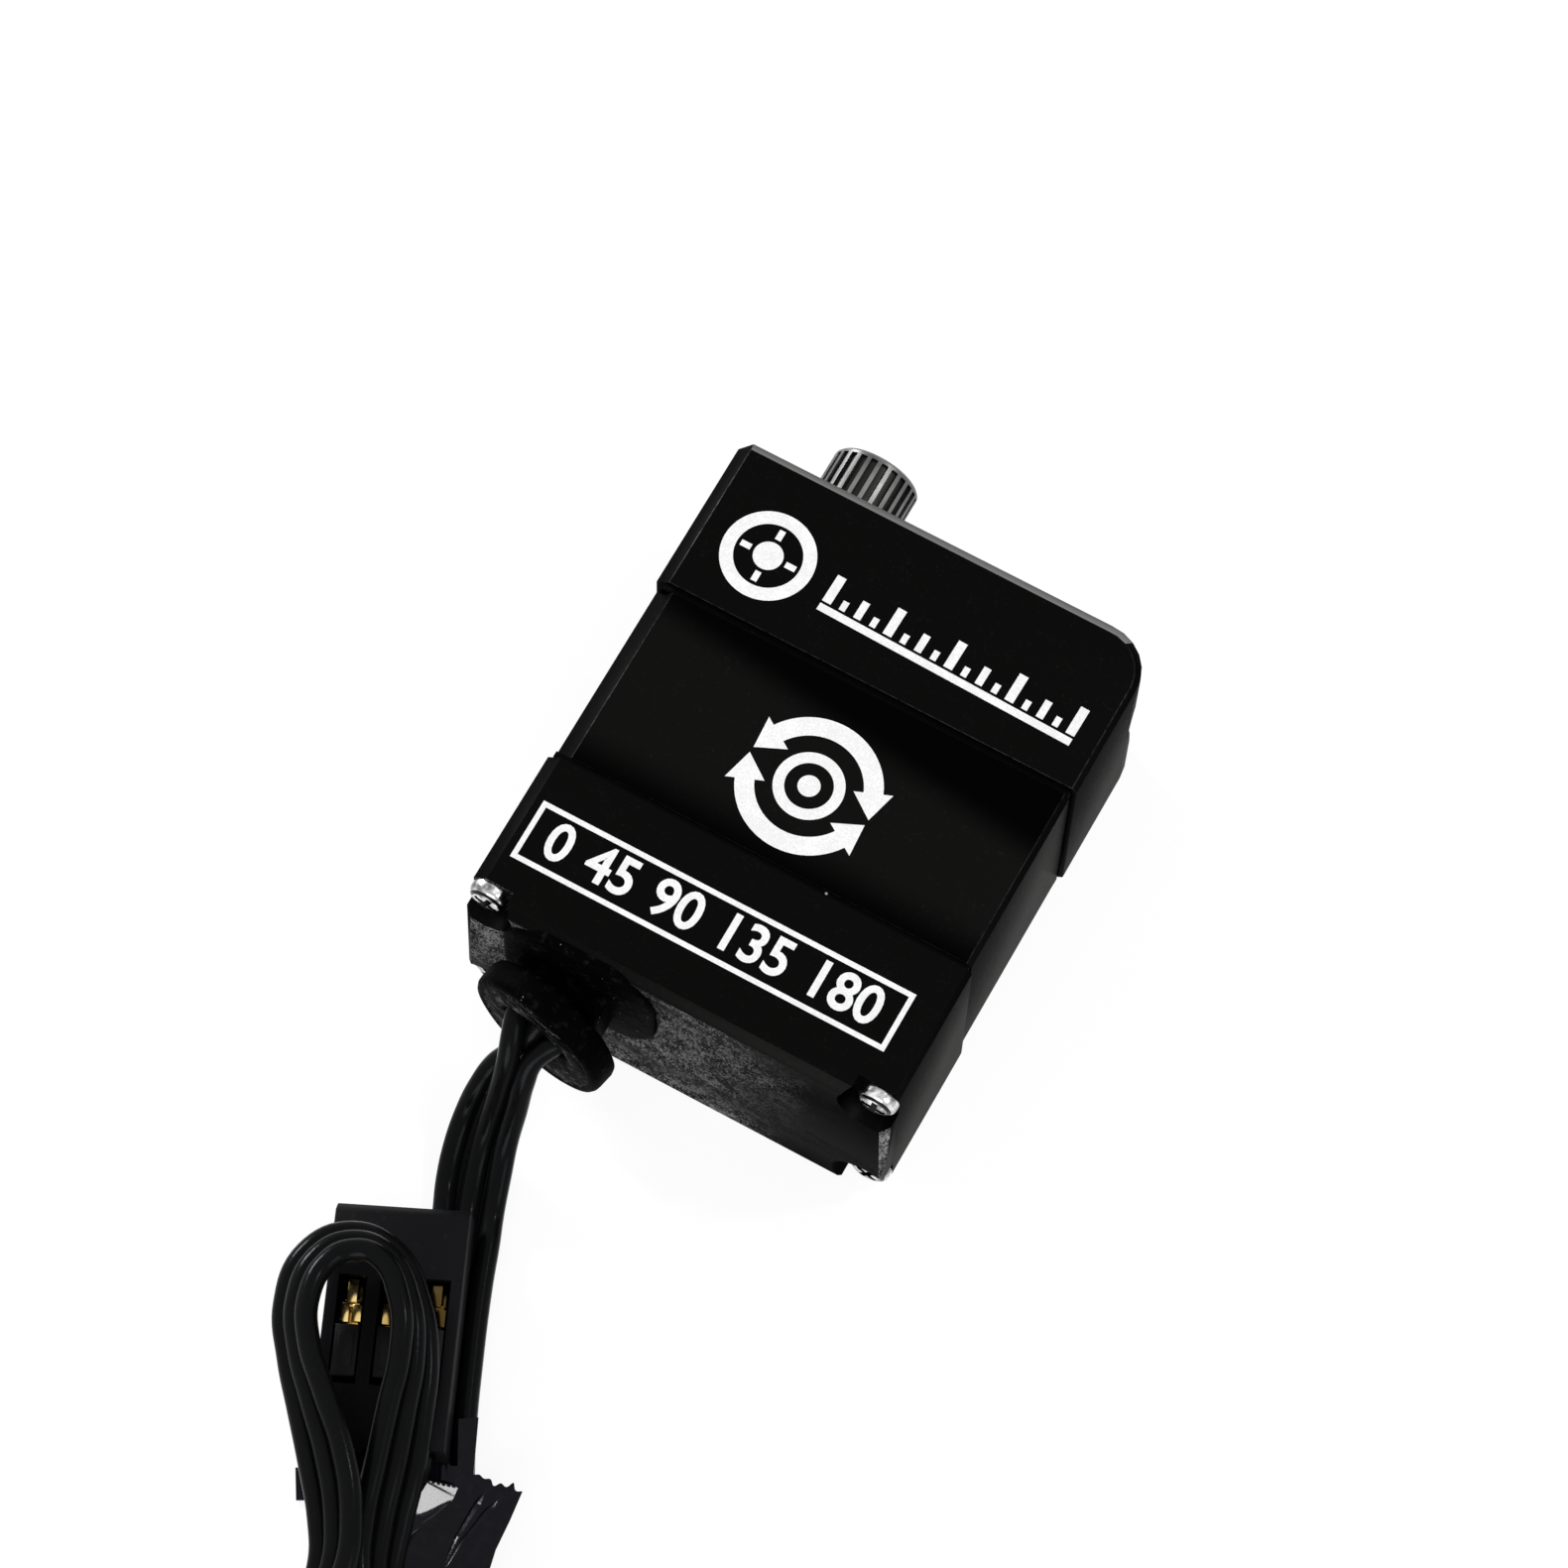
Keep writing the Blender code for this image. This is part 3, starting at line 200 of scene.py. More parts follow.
def joined_up(mesh, merge, angle):
    """A bmesh of a mesh, with its loose triangles merged and its flat faces made one."""
    bm = bmesh.new()
    bm.from_mesh(mesh)
    bmesh.ops.remove_doubles(bm, verts=bm.verts[:], dist=merge)
    bmesh.ops.dissolve_limit(bm, angle_limit=math.radians(angle), verts=bm.verts[:],
                             edges=bm.edges[:])
    return bm


def mark_faces(bm, name, amount, chosen):
    """Write an amount on the chosen faces, for a finish to read."""
    layer = bm.faces.layers.float.get(name) or bm.faces.layers.float.new(name)
    bm.normal_update()
    for face in bm.faces:
        if chosen(face):
            face[layer] = amount


def cut(thing, cutters, sharp, painted_shade=None):
    """Cut other shapes out of a piece, and mark the faces down in a recess for painted
    shade.
    """
    for cutter in cutters:
        configured(thing.modifiers.new(cutter.name, "BOOLEAN"), operation="DIFFERENCE",
                   solver="EXACT", object=cutter)
    bpy.context.view_layer.update()
    graph = bpy.context.evaluated_depsgraph_get()
    cut_mesh = bpy.data.meshes.new_from_object(thing.evaluated_get(graph))
    thing.modifiers.clear()
    thing.data = cut_mesh
    for cutter in cutters:
        bpy.data.objects.remove(cutter, do_unlink=True)
    bm = joined_up(cut_mesh, MERGE, 0.5)
    bmesh.ops.recalc_face_normals(bm, faces=bm.faces[:])
    if painted_shade:
        mark_faces(bm, "painted_shade", 1.0, painted_shade)
    bm.to_mesh(cut_mesh)
    bm.free()
    shade(thing, sharp)


print("shapes merge points closer than", MERGE)

# %% [markdown]
# Nodes are made by one helper that sets a node's properties and then fills or links its
# sockets. The rest name the few patterns that the finishes below are made of.

# %% Helpers for nodes
def feed(tree, node, label, value):
    """Fill or link a socket, found by its number or by its name with _ for a space."""
    socket = node.inputs[int(label) if label.isdigit() else label.replace("_", " ")]
    if isinstance(value, bpy.types.NodeSocket):
        tree.links.new(value, socket)
    elif socket.type == "RGBA":
        socket.default_value = (*value, 1.0)
    else:
        socket.default_value = value


def add_node(tree, kind, **settings):
    """A node's outputs, once its properties are set and its in_ sockets are fed."""
    node = tree.nodes.new(kind)
    for label, value in settings.items():
        if label.startswith("in_"):
            feed(tree, node, label[3:], value)
        else:
            setattr(node, label, value)
    return node.outputs


def math_node(tree, operation, first, second=0.5, clamp=False):
    return add_node(tree, "ShaderNodeMath", operation=operation, use_clamp=clamp,
                    in_0=first, in_1=second)[0]


def times(tree, first, second, clamp=False):
    return math_node(tree, "MULTIPLY", first, second, clamp)


def minus(tree, first, second):
    return math_node(tree, "SUBTRACT", first, second)


def ramp(tree, value, low, high):
    """Smooth step of a value between two limits, as a 0 to 1 mask."""
    return add_node(tree, "ShaderNodeMapRange", interpolation_type="SMOOTHSTEP",
                    in_Value=value, in_From_Min=low, in_From_Max=high)["Result"]


def mix_value(tree, mask, first, second):
    return add_node(tree, "ShaderNodeMapRange", in_Value=mask, in_To_Min=first,
                    in_To_Max=second)["Result"]


def mix_colour(tree, mask, first, second):
    """One colour turning into another where the mask is 1."""
    return add_node(tree, "ShaderNodeMix", data_type="RGBA", in_0=mask, in_6=first,
                    in_7=second)[2]


def attribute(tree, name):
    """An amount that the faces of a piece carry."""
    return add_node(tree, "ShaderNodeAttribute", attribute_name=name)["Fac"]


def object_place(tree):
    return add_node(tree, "ShaderNodeTexCoord")["Object"]


def object_noise(tree, scale, detail=2.0, roughness=0.5, offset=(0, 0, 0), turn=(0, 0, 0),
                 stretch=(1, 1, 1)):
    """Cloudy noise, moved, turned and stretched as asked."""
    spot = add_node(tree, "ShaderNodeMapping", in_Vector=object_place(tree),
                    in_Location=offset, in_Rotation=turn, in_Scale=stretch)["Vector"]
    return add_node(tree, "ShaderNodeTexNoise", in_Vector=spot, in_Scale=scale,
                    in_Detail=detail, in_Roughness=roughness)["Fac"]


print("node helpers ready")

# %% [markdown]
# Several finishes share the same small effects. Each effect is a node group that reads
# Object coordinates or the piece's own attribute and puts out a mask or a height: a fine
# grain for blasted metal and moulded rubber, sparse specks of dust, and the rubbed line
# that handling leaves along an edge.

# %% Shared effects
def new_group(name, outputs, **inputs):
    """A node group with named float sockets: the tree, its inputs and its last node."""
    group = bpy.data.node_groups.new(name, "ShaderNodeTree")
    for label, value in inputs.items():
        socket = group.interface.new_socket(label, in_out="INPUT",
                                            socket_type="NodeSocketFloat")
        socket.default_value = value
    for label in outputs:
        group.interface.new_socket(label, in_out="OUTPUT", socket_type="NodeSocketFloat")
    return group, add_node(group, "NodeGroupInput"), group.nodes.new("NodeGroupOutput")


GRAIN, given, leave = new_group("fine_grain", ["Height", "Speckle"], Scale=5000.0, Cover=0.5)
fine = object_noise(GRAIN, given["Scale"], 3.0, 0.7)
coarse = object_noise(GRAIN, 900.0, 2.0, 0.5, (0.3, 0.1, 0.2))
mixed = math_node(GRAIN, "ADD", times(GRAIN, fine, 0.75), times(GRAIN, coarse, 0.25))
above = minus(GRAIN, mixed, minus(GRAIN, 0.68, times(GRAIN, given["Cover"], 0.3)))
feed(GRAIN, leave, "Height", mixed)
feed(GRAIN, leave, "Speckle", times(GRAIN, above, 9.0, clamp=True))

DUST, given, leave = new_group("dust_specks", ["Mask"], Scale=900.0, Size=0.12)
cells = add_node(DUST, "ShaderNodeTexVoronoi", feature="F1", in_Vector=object_place(DUST),
                 in_Scale=given["Scale"])
split = add_node(DUST, "ShaderNodeSeparateColor", in_Color=cells["Color"])
chosen = math_node(DUST, "GREATER_THAN", split["Red"], 0.9)
near = math_node(DUST, "LESS_THAN", cells["Distance"], given["Size"])
feed(DUST, leave, "Mask", times(DUST, chosen, near))

RUB, given, leave = new_group("edge_rub", ["Mask"], Amount=0.6)
broken = ramp(RUB, object_noise(RUB, 2600.0, 4.0, 0.75), 0.32, 0.62)
rubbed = times(RUB, attribute(RUB, "edge"), broken)
feed(RUB, leave, "Mask", times(RUB, rubbed, given["Amount"], clamp=True))
print("effects", [group.name for group in (GRAIN, DUST, RUB)])

# %% [markdown]
# A material starts from one Principled shader whose constant values sit on its own
# sockets. Anything that changes over the surface is linked in afterwards.

# %% Helpers for materials
def grey(level):
    return (level, level, level)


def new_material(name, colour, roughness, metallic=0.0, **constants):
    """A material with its constants set, and its tree."""
    material = bpy.data.materials.new(name)
    material.use_nodes = True
    shader = material.node_tree.nodes["Principled BSDF"]
    constants.update(Base_Color=colour, Roughness=roughness, Metallic=metallic)
    for label, value in constants.items():
        feed(material.node_tree, shader, label, value)
    return material, material.node_tree


def surface(material, colour, rough=None, height=None, depth=0.0, strength=1.0):
    """Link what changes over the surface: its colour, its roughness and its bump."""
    tree = material.node_tree
    shader = tree.nodes["Principled BSDF"]
    feed(tree, shader, "Base_Color", colour)
    if rough is not None:
        feed(tree, shader, "Roughness", rough)
    if height is not None:
        raised = add_node(tree, "ShaderNodeBump", in_Strength=strength, in_Distance=depth,
                          in_Height=height)
        feed(tree, shader, "Normal", raised["Normal"])
    return material


def use_group(tree, group, **values):
    """The outputs of a shared effect, placed with its own values."""
    sockets = {f"in_{label}": value for label, value in values.items()}
    return add_node(tree, "ShaderNodeGroup", node_tree=group, **sockets)


print("plain grey", grey(0.5))

# %% [markdown]
# The case is aluminium, milled, finely blasted and dyed black. The dye leaves a metal
# that is nearly black in every direction, so its tint at grazing angles is kept low too.
# Where fingers and the bench rub the edges, a thin broken line of grey shows. The lower
# end face is blasted more coarsely, so it carries a light speckle; its strength there and
# on the right corner is painted light, and it fades towards the right end as painted
# shade. The left chamfers and the top chamfer of the upper section are painted lighter as
# painted light. The front of the middle section has painted shade that darkens it softly
# towards the two seams, and it is painted slightly lighter along its middle.

# %% Anodised case
def object_axes(tree):
    return add_node(tree, "ShaderNodeSeparateXYZ", in_Vector=object_place(tree))


def bare_metal_and_painted_light(tree):
    """How much blasted metal shows through the dye, face by face, made stronger as painted
    light on marked faces, and fading towards the right end as painted shade.
    """
    cloud = object_noise(tree, 160.0, 2.0)
    across = math_node(tree, "ADD", object_axes(tree)["X"], times(tree, cloud, 0.006))
    # Painted shade: the speckle fades out towards the right end.
    shaded_off = times(tree, ramp(tree, across, 0.005, 0.0125), 0.96)
    kept = minus(tree, 1.0, times(tree, shaded_off, attribute(tree, "right_end_shade")))
    return times(tree, attribute(tree, "blasted_and_painted_light"), kept, clamp=True)


def away_from_seams(tree):
    """1 along the middle of the middle section, falling to 0 towards its seams, where the
    painted shade is darkest.
    """
    axes = object_axes(tree)
    above = ramp(tree, axes["Y"], LOWER_SEAM - 0.3 * MM, LOWER_SEAM + 3.0 * MM)
    slanted = math_node(tree, "ADD", axes["Y"], times(tree, axes["X"], 0.12))
    past = ramp(tree, slanted, UPPER_SEAM - 4.0 * MM, UPPER_SEAM - 1.5 * MM)
    return times(tree, above, minus(tree, 1.0, past))


ANODISED, tree = new_material("black_anodised", grey(0.005), 0.42, 0.9,
                              Specular_IOR_Level=0.2, Specular_Tint=(0.115, 0.11, 0.105))
grain = use_group(tree, GRAIN, Scale=4200.0, Cover=0.35)
plain = mix_colour(tree, grain["Speckle"], (0.0036, 0.0035, 0.0034),
                   (0.0067, 0.0065, 0.0063))
# Painted shade and light on the middle section's front: lighter than the rest of the case
# along its middle, near black towards the seams.
seam_shaded_colour = mix_colour(tree, grain["Speckle"], (0.0058, 0.0056, 0.0054),
                    (0.0094, 0.0091, 0.0088))
seam_shaded_colour = mix_colour(tree, away_from_seams(tree), grey(0.0008), seam_shaded_colour)
plain = mix_colour(tree, attribute(tree, "painted_seam_shade"), plain, seam_shaded_colour)
coarse = use_group(tree, GRAIN, Scale=6800.0, Cover=0.72)
bright = mix_colour(tree, coarse["Speckle"], grey(0.03), grey(0.6))
colour = mix_colour(tree, bare_metal_and_painted_light(tree), plain, bright)
# Painted light: chamfers marked for it are painted towards grey.
colour = mix_colour(tree, attribute(tree, "painted_light_band"), colour, grey(0.5))
rub = use_group(tree, RUB, Amount=0.12)["Mask"]
colour = mix_colour(tree, rub, colour, (0.12, 0.123, 0.13))
rough = mix_value(tree, grain["Speckle"], 0.36, 0.5)
surface(ANODISED, colour, rough, grain["Height"], 0.00001, 0.5)
print("case finish", ANODISED.name)

# %% [markdown]
# The prints are a thin coat of white ink, screen printed. Real ink has a slight texture
# of the mesh it was pressed through, and its edge is a little soft.

# %% White print
PRINT, tree = new_material("white_print", grey(0.88), 0.55)
pale = use_group(tree, GRAIN, Scale=7000.0, Cover=0.7)["Speckle"]
surface(PRINT, mix_colour(tree, pale, (0.8, 0.8, 0.81), grey(0.93)))
print("print finish", PRINT.name)

# %% [markdown]
# Metals seen bare: the steel spline with faint turning marks round it, bright plated
# screws, brass gears, the nickel motor can, copper windings and gold plated contacts.
# They differ in colour, in roughness, and in how strong the fine marks on them are.
# The spline's grooves, the screws' cross recesses and the contacts under the hank are
# darkened with painted shade.

# %% Bare metals
def metal_finish(name, dark, light, roughness, marks=3000.0, patches=350.0,
                 deep=(0.012, 0.012, 0.011)):
    """A metal whose colour and gloss drift slightly over fine marks, and whose faces marked
    for painted shade take the deep colour.
    """
    material, tree = new_material(name, light, roughness, 1.0)
    grain = use_group(tree, GRAIN, Scale=marks, Cover=0.5)
    drift = ramp(tree, object_noise(tree, patches, 3.0), 0.35, 0.68)
    colour = mix_colour(tree, drift, dark, light)
    # Painted shade: faces marked for it turn towards the deep colour.
    colour = mix_colour(tree, attribute(tree, "painted_shade"), colour, deep)
    rough = mix_value(tree, grain["Height"], roughness * 0.6, roughness * 1.4)
    return surface(material, colour, rough, grain["Height"], 0.000004, 0.4)


STEEL = metal_finish("bright_steel", grey(0.1), (0.21, 0.21, 0.207), 0.36,
                     deep=(0.022, 0.022, 0.021))
PLATED = metal_finish("plated_screw", grey(0.16), grey(0.95), 0.18, patches=1500.0,
                      deep=grey(0.02))
BRASS = metal_finish("gear_brass", (0.5, 0.34, 0.13), (0.78, 0.57, 0.27), 0.28)
CAN = metal_finish("motor_can", grey(0.5), (0.72, 0.72, 0.71), 0.26)
GOLD = metal_finish("gold_plating", (0.72, 0.47, 0.13), (1.0, 0.76, 0.33), 0.2,
                    deep=(0.03, 0.018, 0.006))
COPPER = metal_finish("winding", (0.4, 0.15, 0.05), (0.75, 0.36, 0.16), 0.34, 9000.0)
print("metals", [m.name for m in (STEEL, PLATED, BRASS, CAN, GOLD, COPPER)])

# %% [markdown]
# Rubber, moulded plastics and insulation are all black, but they are told apart by how
# they shine: the rubber is dull and dusty, the plug is satin, and the wires have a smooth
# skin with a long narrow highlight.

# %% Rubber and plastics
def moulded_finish(name, dark, light, roughness, scale, depth, dust=0.0, specular=0.5,
                   tint=grey(1.0)):
    material, tree = new_material(name, dark, roughness, Specular_IOR_Level=specular,
                                  Specular_Tint=tint)
    grain = use_group(tree, GRAIN, Scale=scale, Cover=0.3)
    colour = mix_colour(tree, grain["Speckle"], dark, light)
    if dust:
        specks = use_group(tree, DUST, Scale=1100.0, Size=dust)["Mask"]
        colour = mix_colour(tree, specks, colour, grey(0.5))
    rough = mix_value(tree, grain["Height"], roughness - 0.1, roughness + 0.12)
    return surface(material, colour, rough, grain["Height"], depth, 0.6)


RUBBER = moulded_finish("black_rubber", grey(0.0016), grey(0.006), 0.6, 1500.0, 0.00005,
                        dust=0.12, specular=0.015)
PLASTIC = moulded_finish("black_plastic", (0.0052, 0.0052, 0.0062),
                         (0.0115, 0.0117, 0.0135), 0.42, 2600.0, 0.000008, specular=0.045)
INSULATION = moulded_finish("wire_insulation", (0.004, 0.004, 0.0041),
                            (0.006, 0.006, 0.0062), 0.17, 3400.0, 0.000018,
                            specular=0.042, tint=(0.84, 0.92, 1.0))
# The latch tongues are the housing's black plastic painted lighter, as painted light where
# they sit in shade.
LIT_LATCH_PLASTIC = moulded_finish("painted_light_latch_plastic", (0.013, 0.013, 0.0135),
                               (0.02, 0.02, 0.021), 0.42, 2600.0, 0.000008, specular=0.1)
print("moulded", [m.name for m in (RUBBER, PLASTIC, INSULATION, LIT_LATCH_PLASTIC)])

# %% [markdown]
# The tie is a strip of glossy black film. It is flexible, so it never lies flat, and
# each shallow crease catches the light as a thin streak.

# %% Glossy strap
STRAP, tree = new_material("tie_strap", (0.008, 0.007, 0.011), 0.13,
                           Specular_IOR_Level=0.1)
creases = object_noise(tree, 260.0, 1.0, 0.3)
fine = object_noise(tree, 1500.0, 2.0, 0.5, (0.2, 0.4, 0.1))
height = math_node(tree, "ADD", creases, times(tree, fine, 0.01))
colour = mix_colour(tree, ramp(tree, fine, 0.45, 0.7), (0.004, 0.0032, 0.006),
                    (0.007, 0.0058, 0.0095))
surface(STRAP, colour, None, height, 0.00005, 0.5)
print("strap finish", STRAP.name)

# %% [markdown]
# The control board is a green laminate. Its solder mask is slightly uneven over the
# weave of the glass cloth beneath, and tracks show through as lighter lines.

# %% Circuit board
BOARD, tree = new_material("circuit_board", (0.02, 0.12, 0.06), 0.4)
weave = add_node(tree, "ShaderNodeTexWave", wave_type="BANDS", bands_direction="DIAGONAL",
                 in_Scale=900.0, in_Vector=object_place(tree))["Fac"]
tracks = add_node(tree, "ShaderNodeTexBrick", in_Scale=420.0, in_Mortar_Size=0.05,
                  in_Vector=object_place(tree))["Fac"]
colour = mix_colour(tree, tracks, (0.012, 0.09, 0.045), (0.04, 0.2, 0.1))
surface(BOARD, colour, mix_value(tree, weave, 0.3, 0.5), weave, 0.00001, 0.4)
print("board finish", BOARD.name)

# %% [markdown]
# The lead is three thin wires side by side. They leave the grommet, drop to the table
# and run beside the plug, then fold back on themselves in a hank, and come home to the
# plug's rear. Each fold stands on edge, so the flat ribbon turns without a kink. The
# hank has a direction of its own on the table: s runs away from the servo, v across,
# and z is height. A ribbon point also has a roll, the tilt of the row of three wires.

# %% The lead's measures
WIRE_DIAMETER = 1.42 * MM
WIRE_PITCH = 1.4


def heading(turn):
    """A level direction away from the servo, turned towards the right."""
    return Vector((math.sin(turn), -math.cos(turn), 0))


HANK_HOME = place(-11.3, -18.0, 0)
HANK_TURN = math.radians(29)
ALONG_HANK = heading(HANK_TURN)
ACROSS_HANK = Vector((math.cos(HANK_TURN), math.sin(HANK_TURN), 0))


def hank_place(s, v, z):
    """A point in the hank's own directions, from millimetres."""
    return HANK_HOME + (ALONG_HANK * s + ACROSS_HANK * v) * MM + Vector((0, 0, z * MM))


PLUG_TURN = math.radians(24)
PLUG_HALF_LENGTH = 7.0
PLUG_MIDDLE = place(-9.8, -15.5, 2.62) + heading(PLUG_TURN) * PLUG_HALF_LENGTH * MM
PLUG_FRAME = (Matrix.Translation(PLUG_MIDDLE) @ Matrix.Rotation(PLUG_TURN, 4, "Z")
              @ Matrix.Rotation(math.radians(-4), 4, "Y"))
print("hank starts at", [round(v, 4) for v in HANK_HOME])

# %% Where each wire leaves the grommet and settles on the table
FROM_GROMMET = {
    "signal": [
        (-5.4, -0.6, 8.7), (-5.5, -2.0, 8.7), (-5.85, -3.15, 8.4), (-6.5, -4.0, 8.0),
        (-6.98, -4.95, 7.4), (-7.0, -6.0, 6.3), (-6.85, -7.25, 4.5),
        (-6.66, -8.75, 2.85), (-6.18, -10.45, 1.7)],
    "positive": [
        (-9.1, -0.6, 8.6), (-9.2, -1.9, 8.75), (-9.05, -3.15, 8.75), (-8.72, -4.25, 8.3),
        (-8.38, -5.35, 7.35), (-8.25, -6.8, 5.0), (-8.17, -8.3, 3.0),
        (-7.95, -9.7, 1.9), (-7.45, -11.5, 1.1)],
    "negative": [
        (-7.4, -0.6, 8.5), (-7.45, -1.9, 8.5), (-7.65, -3.0, 8.1), (-8.0, -3.9, 7.1),
        (-8.65, -4.45, 5.8), (-9.42, -5.34, 4.7), (-9.76, -6.72, 3.7),
        (-9.88, -8.13, 2.4), (-9.62, -10.04, 1.48), (-9.0, -12.1, 0.85)],
}
SIDE = {"signal": 1, "positive": 0, "negative": -1}
print("wires", list(FROM_GROMMET))

# %% The ribbon's middle line: s, v, z, roll in degrees, and any other pitch of the wires
RIBBON = [
    # out, flat on the table
    (-2.2, 6.22, 0.76, 0, 1.5), (-0.2, 6.03, 0.76, 0, 1.45), (2.5, 5.68, 0.76, 0, 1.41),
    (7.2, 5.2, 0.76, 0), (12.0, 4.85, 0.76, 0), (16.5, 4.8, 0.79, -2),
    (20.5, 4.75, 1.12, -16), (24.0, 4.6, 1.85, -50),
    # the far fold, on edge
    (27.5, 4.35, 2.9, -82), (30.8, 4.28, 3.3, -90), (33.86, 3.06, 3.3, -90),
    (35.15, 0, 3.3, -90), (33.86, -3.06, 3.3, -90), (30.8, -4.28, 3.3, -90),
    # back on top
    (27.6, -4.1, 3.6, -86), (24.4, -2.6, 4.8, -64), (21.4, -1.2, 5.75, -50),
    (18.6, -1.05, 6.5, -45), (15.0, -1.67, 7.15, -43), (11.8, -2.6, 7.25, -54),
    (8.6, -3.45, 7.05, -61), (5.6, -3.66, 6.95, -56),
    # the near loop
    (2.85, -2.5, 6.95, -48), (1.88, -0.45, 6.95, -50), (2.7, 1.65, 6.95, -60),
    # out again in the middle
    (5.6, 3.1, 6.75, -63), (8.8, 3.36, 6.4, -56), (12.0, 2.9, 5.9, -46),
    (15.2, 2.35, 5.25, -39), (18.4, 1.65, 4.4, -42), (21.6, 1.3, 3.75, -52),
    (24.8, 1.95, 3.35, -70), (28.0, 2.75, 3.3, -88),
    # the inner fold, on edge
    (30.9, 2.88, 3.3, -90), (32.94, 2.04, 3.3, -90), (33.78, 0, 3.3, -90),
    (32.94, -2.04, 3.3, -90), (30.9, -2.88, 3.3, -90),
    # home to the plug
    (28.0, -2.75, 2.95, -84), (25.0, -1.75, 2.15, -55), (22.2, -0.5, 1.4, -16),
    (19.4, 0.35, 1.4, 0, 1.5), (16.6, 0.85, 2.0, 0, 1.85),
]
print("ribbon points", len(RIBBON))

# %% Routes of the three wires
def ribbon_points(side):
    """The points of one wire of the ribbon, beside the middle line."""
    middle = [hank_place(*point[:3]) for point in RIBBON]
    points = []
    for index, (s, v, z, roll, *other) in enumerate(RIBBON):
        before = middle[max(index - 1, 0)]
        after = middle[min(index + 1, len(middle) - 1)]
        ahead = (after - before).normalized()
        left = Vector((-ahead.y, ahead.x, 0)).normalized()
        lifted = ahead.cross(left)
        tilt = math.radians(roll)
        beside = left * math.cos(tilt) + lifted * math.sin(tilt)
        pitch = other[0] if other else WIRE_PITCH
        points.append(middle[index] + beside * side * pitch * MM)
    return points


def into_plug(side):
    across = -2.54 * side
    return [PLUG_FRAME @ Vector((across * MM, along * MM, height * MM))
            for along, height in ((-8.9, -0.1), (-7.2, -0.05), (-4.4, -0.05))]


ROUTES = {name: [place(*point) for point in FROM_GROMMET[name]]
          + ribbon_points(SIDE[name]) + into_plug(SIDE[name]) for name in SIDE}
print("route points", {name: len(points) for name, points in ROUTES.items()})

# %% [markdown]
# A curve with a round bevel is the natural tool for a wire: its points are the route,
# its thickness is one number, and automatic handles keep every bend smooth.

# %% The three wires
def wire(name, points):
    data = configured(bpy.data.curves.new(name, "CURVE"), dimensions="3D",
                      bevel_depth=WIRE_DIAMETER / 2, bevel_resolution=4, resolution_u=8,
                      use_fill_caps=True)
    knots = data.splines.new("BEZIER").bezier_points
    knots.add(len(points) - 1)
    for knot, point in zip(knots, points):
        configured(knot, co=point, handle_left_type="AUTO", handle_right_type="AUTO")
    return new_object(name, data, PIECES)


WIRES = {}
for number, name in enumerate(("signal", "positive", "negative"), 1):
    stands_for = [f"lead_wire_{name}", f"plug_wire_{number}"]
    if name == "positive":
        stands_for.append("lead_hank")
    WIRES[name] = settle_piece(wire(f"lead_{name}", ROUTES[name]), INSULATION,
                               replaces=stands_for)
print("wires", [thing.name for thing in WIRES.values()])

# %% [markdown]
# The three wires are moulded side by side as one ribbon, so a thin web joins them. It is
# a grid three points wide whose points are put on the wires' own middle lines, and then
# it gets a thickness less than the wires'. Its rows are counted back from the plug, where
# the points of all three wires agree.

# %% Web between the wires
WEB_THICKNESS = 0.5 * MM
STEPS_PER_KNOT = 6
SPANS_ABOVE_TABLE = 4
SPANS_IN_PLUG = 1


def curve_points(thing):
    """The middle line of a finished curve, from knot to knot in equal steps."""
    knots = list(thing.data.splines[0].bezier_points)
    points = []
    for first, second in zip(knots, knots[1:]):
        points += geometry.interpolate_bezier(first.co, first.handle_right,
                                              second.handle_left, second.co,
                                              STEPS_PER_KNOT + 1)[:-1]
    return points + [knots[-1].co.copy()]


bpy.context.view_layer.update()
lines = [curve_points(WIRES[name]) for name in ("negative", "positive", "signal")]
count = (len(RIBBON) + SPANS_ABOVE_TABLE + 1) * STEPS_PER_KNOT
last = count + SPANS_IN_PLUG * STEPS_PER_KNOT
rows = [[line[len(line) - last + step] for line in lines] for step in range(count)]
web_bm = bmesh.new()
bmesh.ops.create_grid(web_bm, x_segments=2, y_segments=len(rows) - 1, size=1.0)
web_bm.verts.ensure_lookup_table()
for index, vert in enumerate(web_bm.verts):
    vert.co = rows[index // 3][index % 3]
bmesh.ops.solidify(web_bm, geom=web_bm.faces[:], thickness=WEB_THICKNESS)
WEB = make_piece("lead_web", web_bm, INSULATION)
print("web rows", len(rows), "faces", len(WEB.data.polygons))

# %% [markdown]
# The case is three milled sections with two thin black gaskets between. Their shapes are
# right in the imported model, so each visible section starts as a copy of its solid with
# the loose triangles merged. Real milled edges are never razor sharp: a narrow bevel
# catches the light, and the faces it makes are marked so the finish can look rubbed.

# %% Case sections
EDGE_WIDTH = 0.09 * MM
EDGE_ANGLE = math.radians(24)
NEARLY_FACING = 0.97


def case_section(name, node, *marks):
    """A copy of a section's solid with marked faces and rubbed edges."""
    bm = joined_up(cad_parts[node].data, 0.002 * MM, 1.0)
    for label, amount, direction in marks:
        way = Vector(direction).normalized()
        mark_faces(bm, label, amount, lambda face: face.normal.dot(way) > NEARLY_FACING)
    layer = bm.faces.layers.float.new("edge")
    sharp = [e for e in bm.edges if e.is_manifold and e.calc_face_angle(0) > EDGE_ANGLE]
    for face in round_edges(bm, sharp, EDGE_WIDTH)["faces"]:
        face[layer] = 1.0
    thing = make_piece(name, bm, ANODISED, replaces=[node])
    print(name, "bevelled edges", len(sharp), "faces", len(thing.data.polygons))


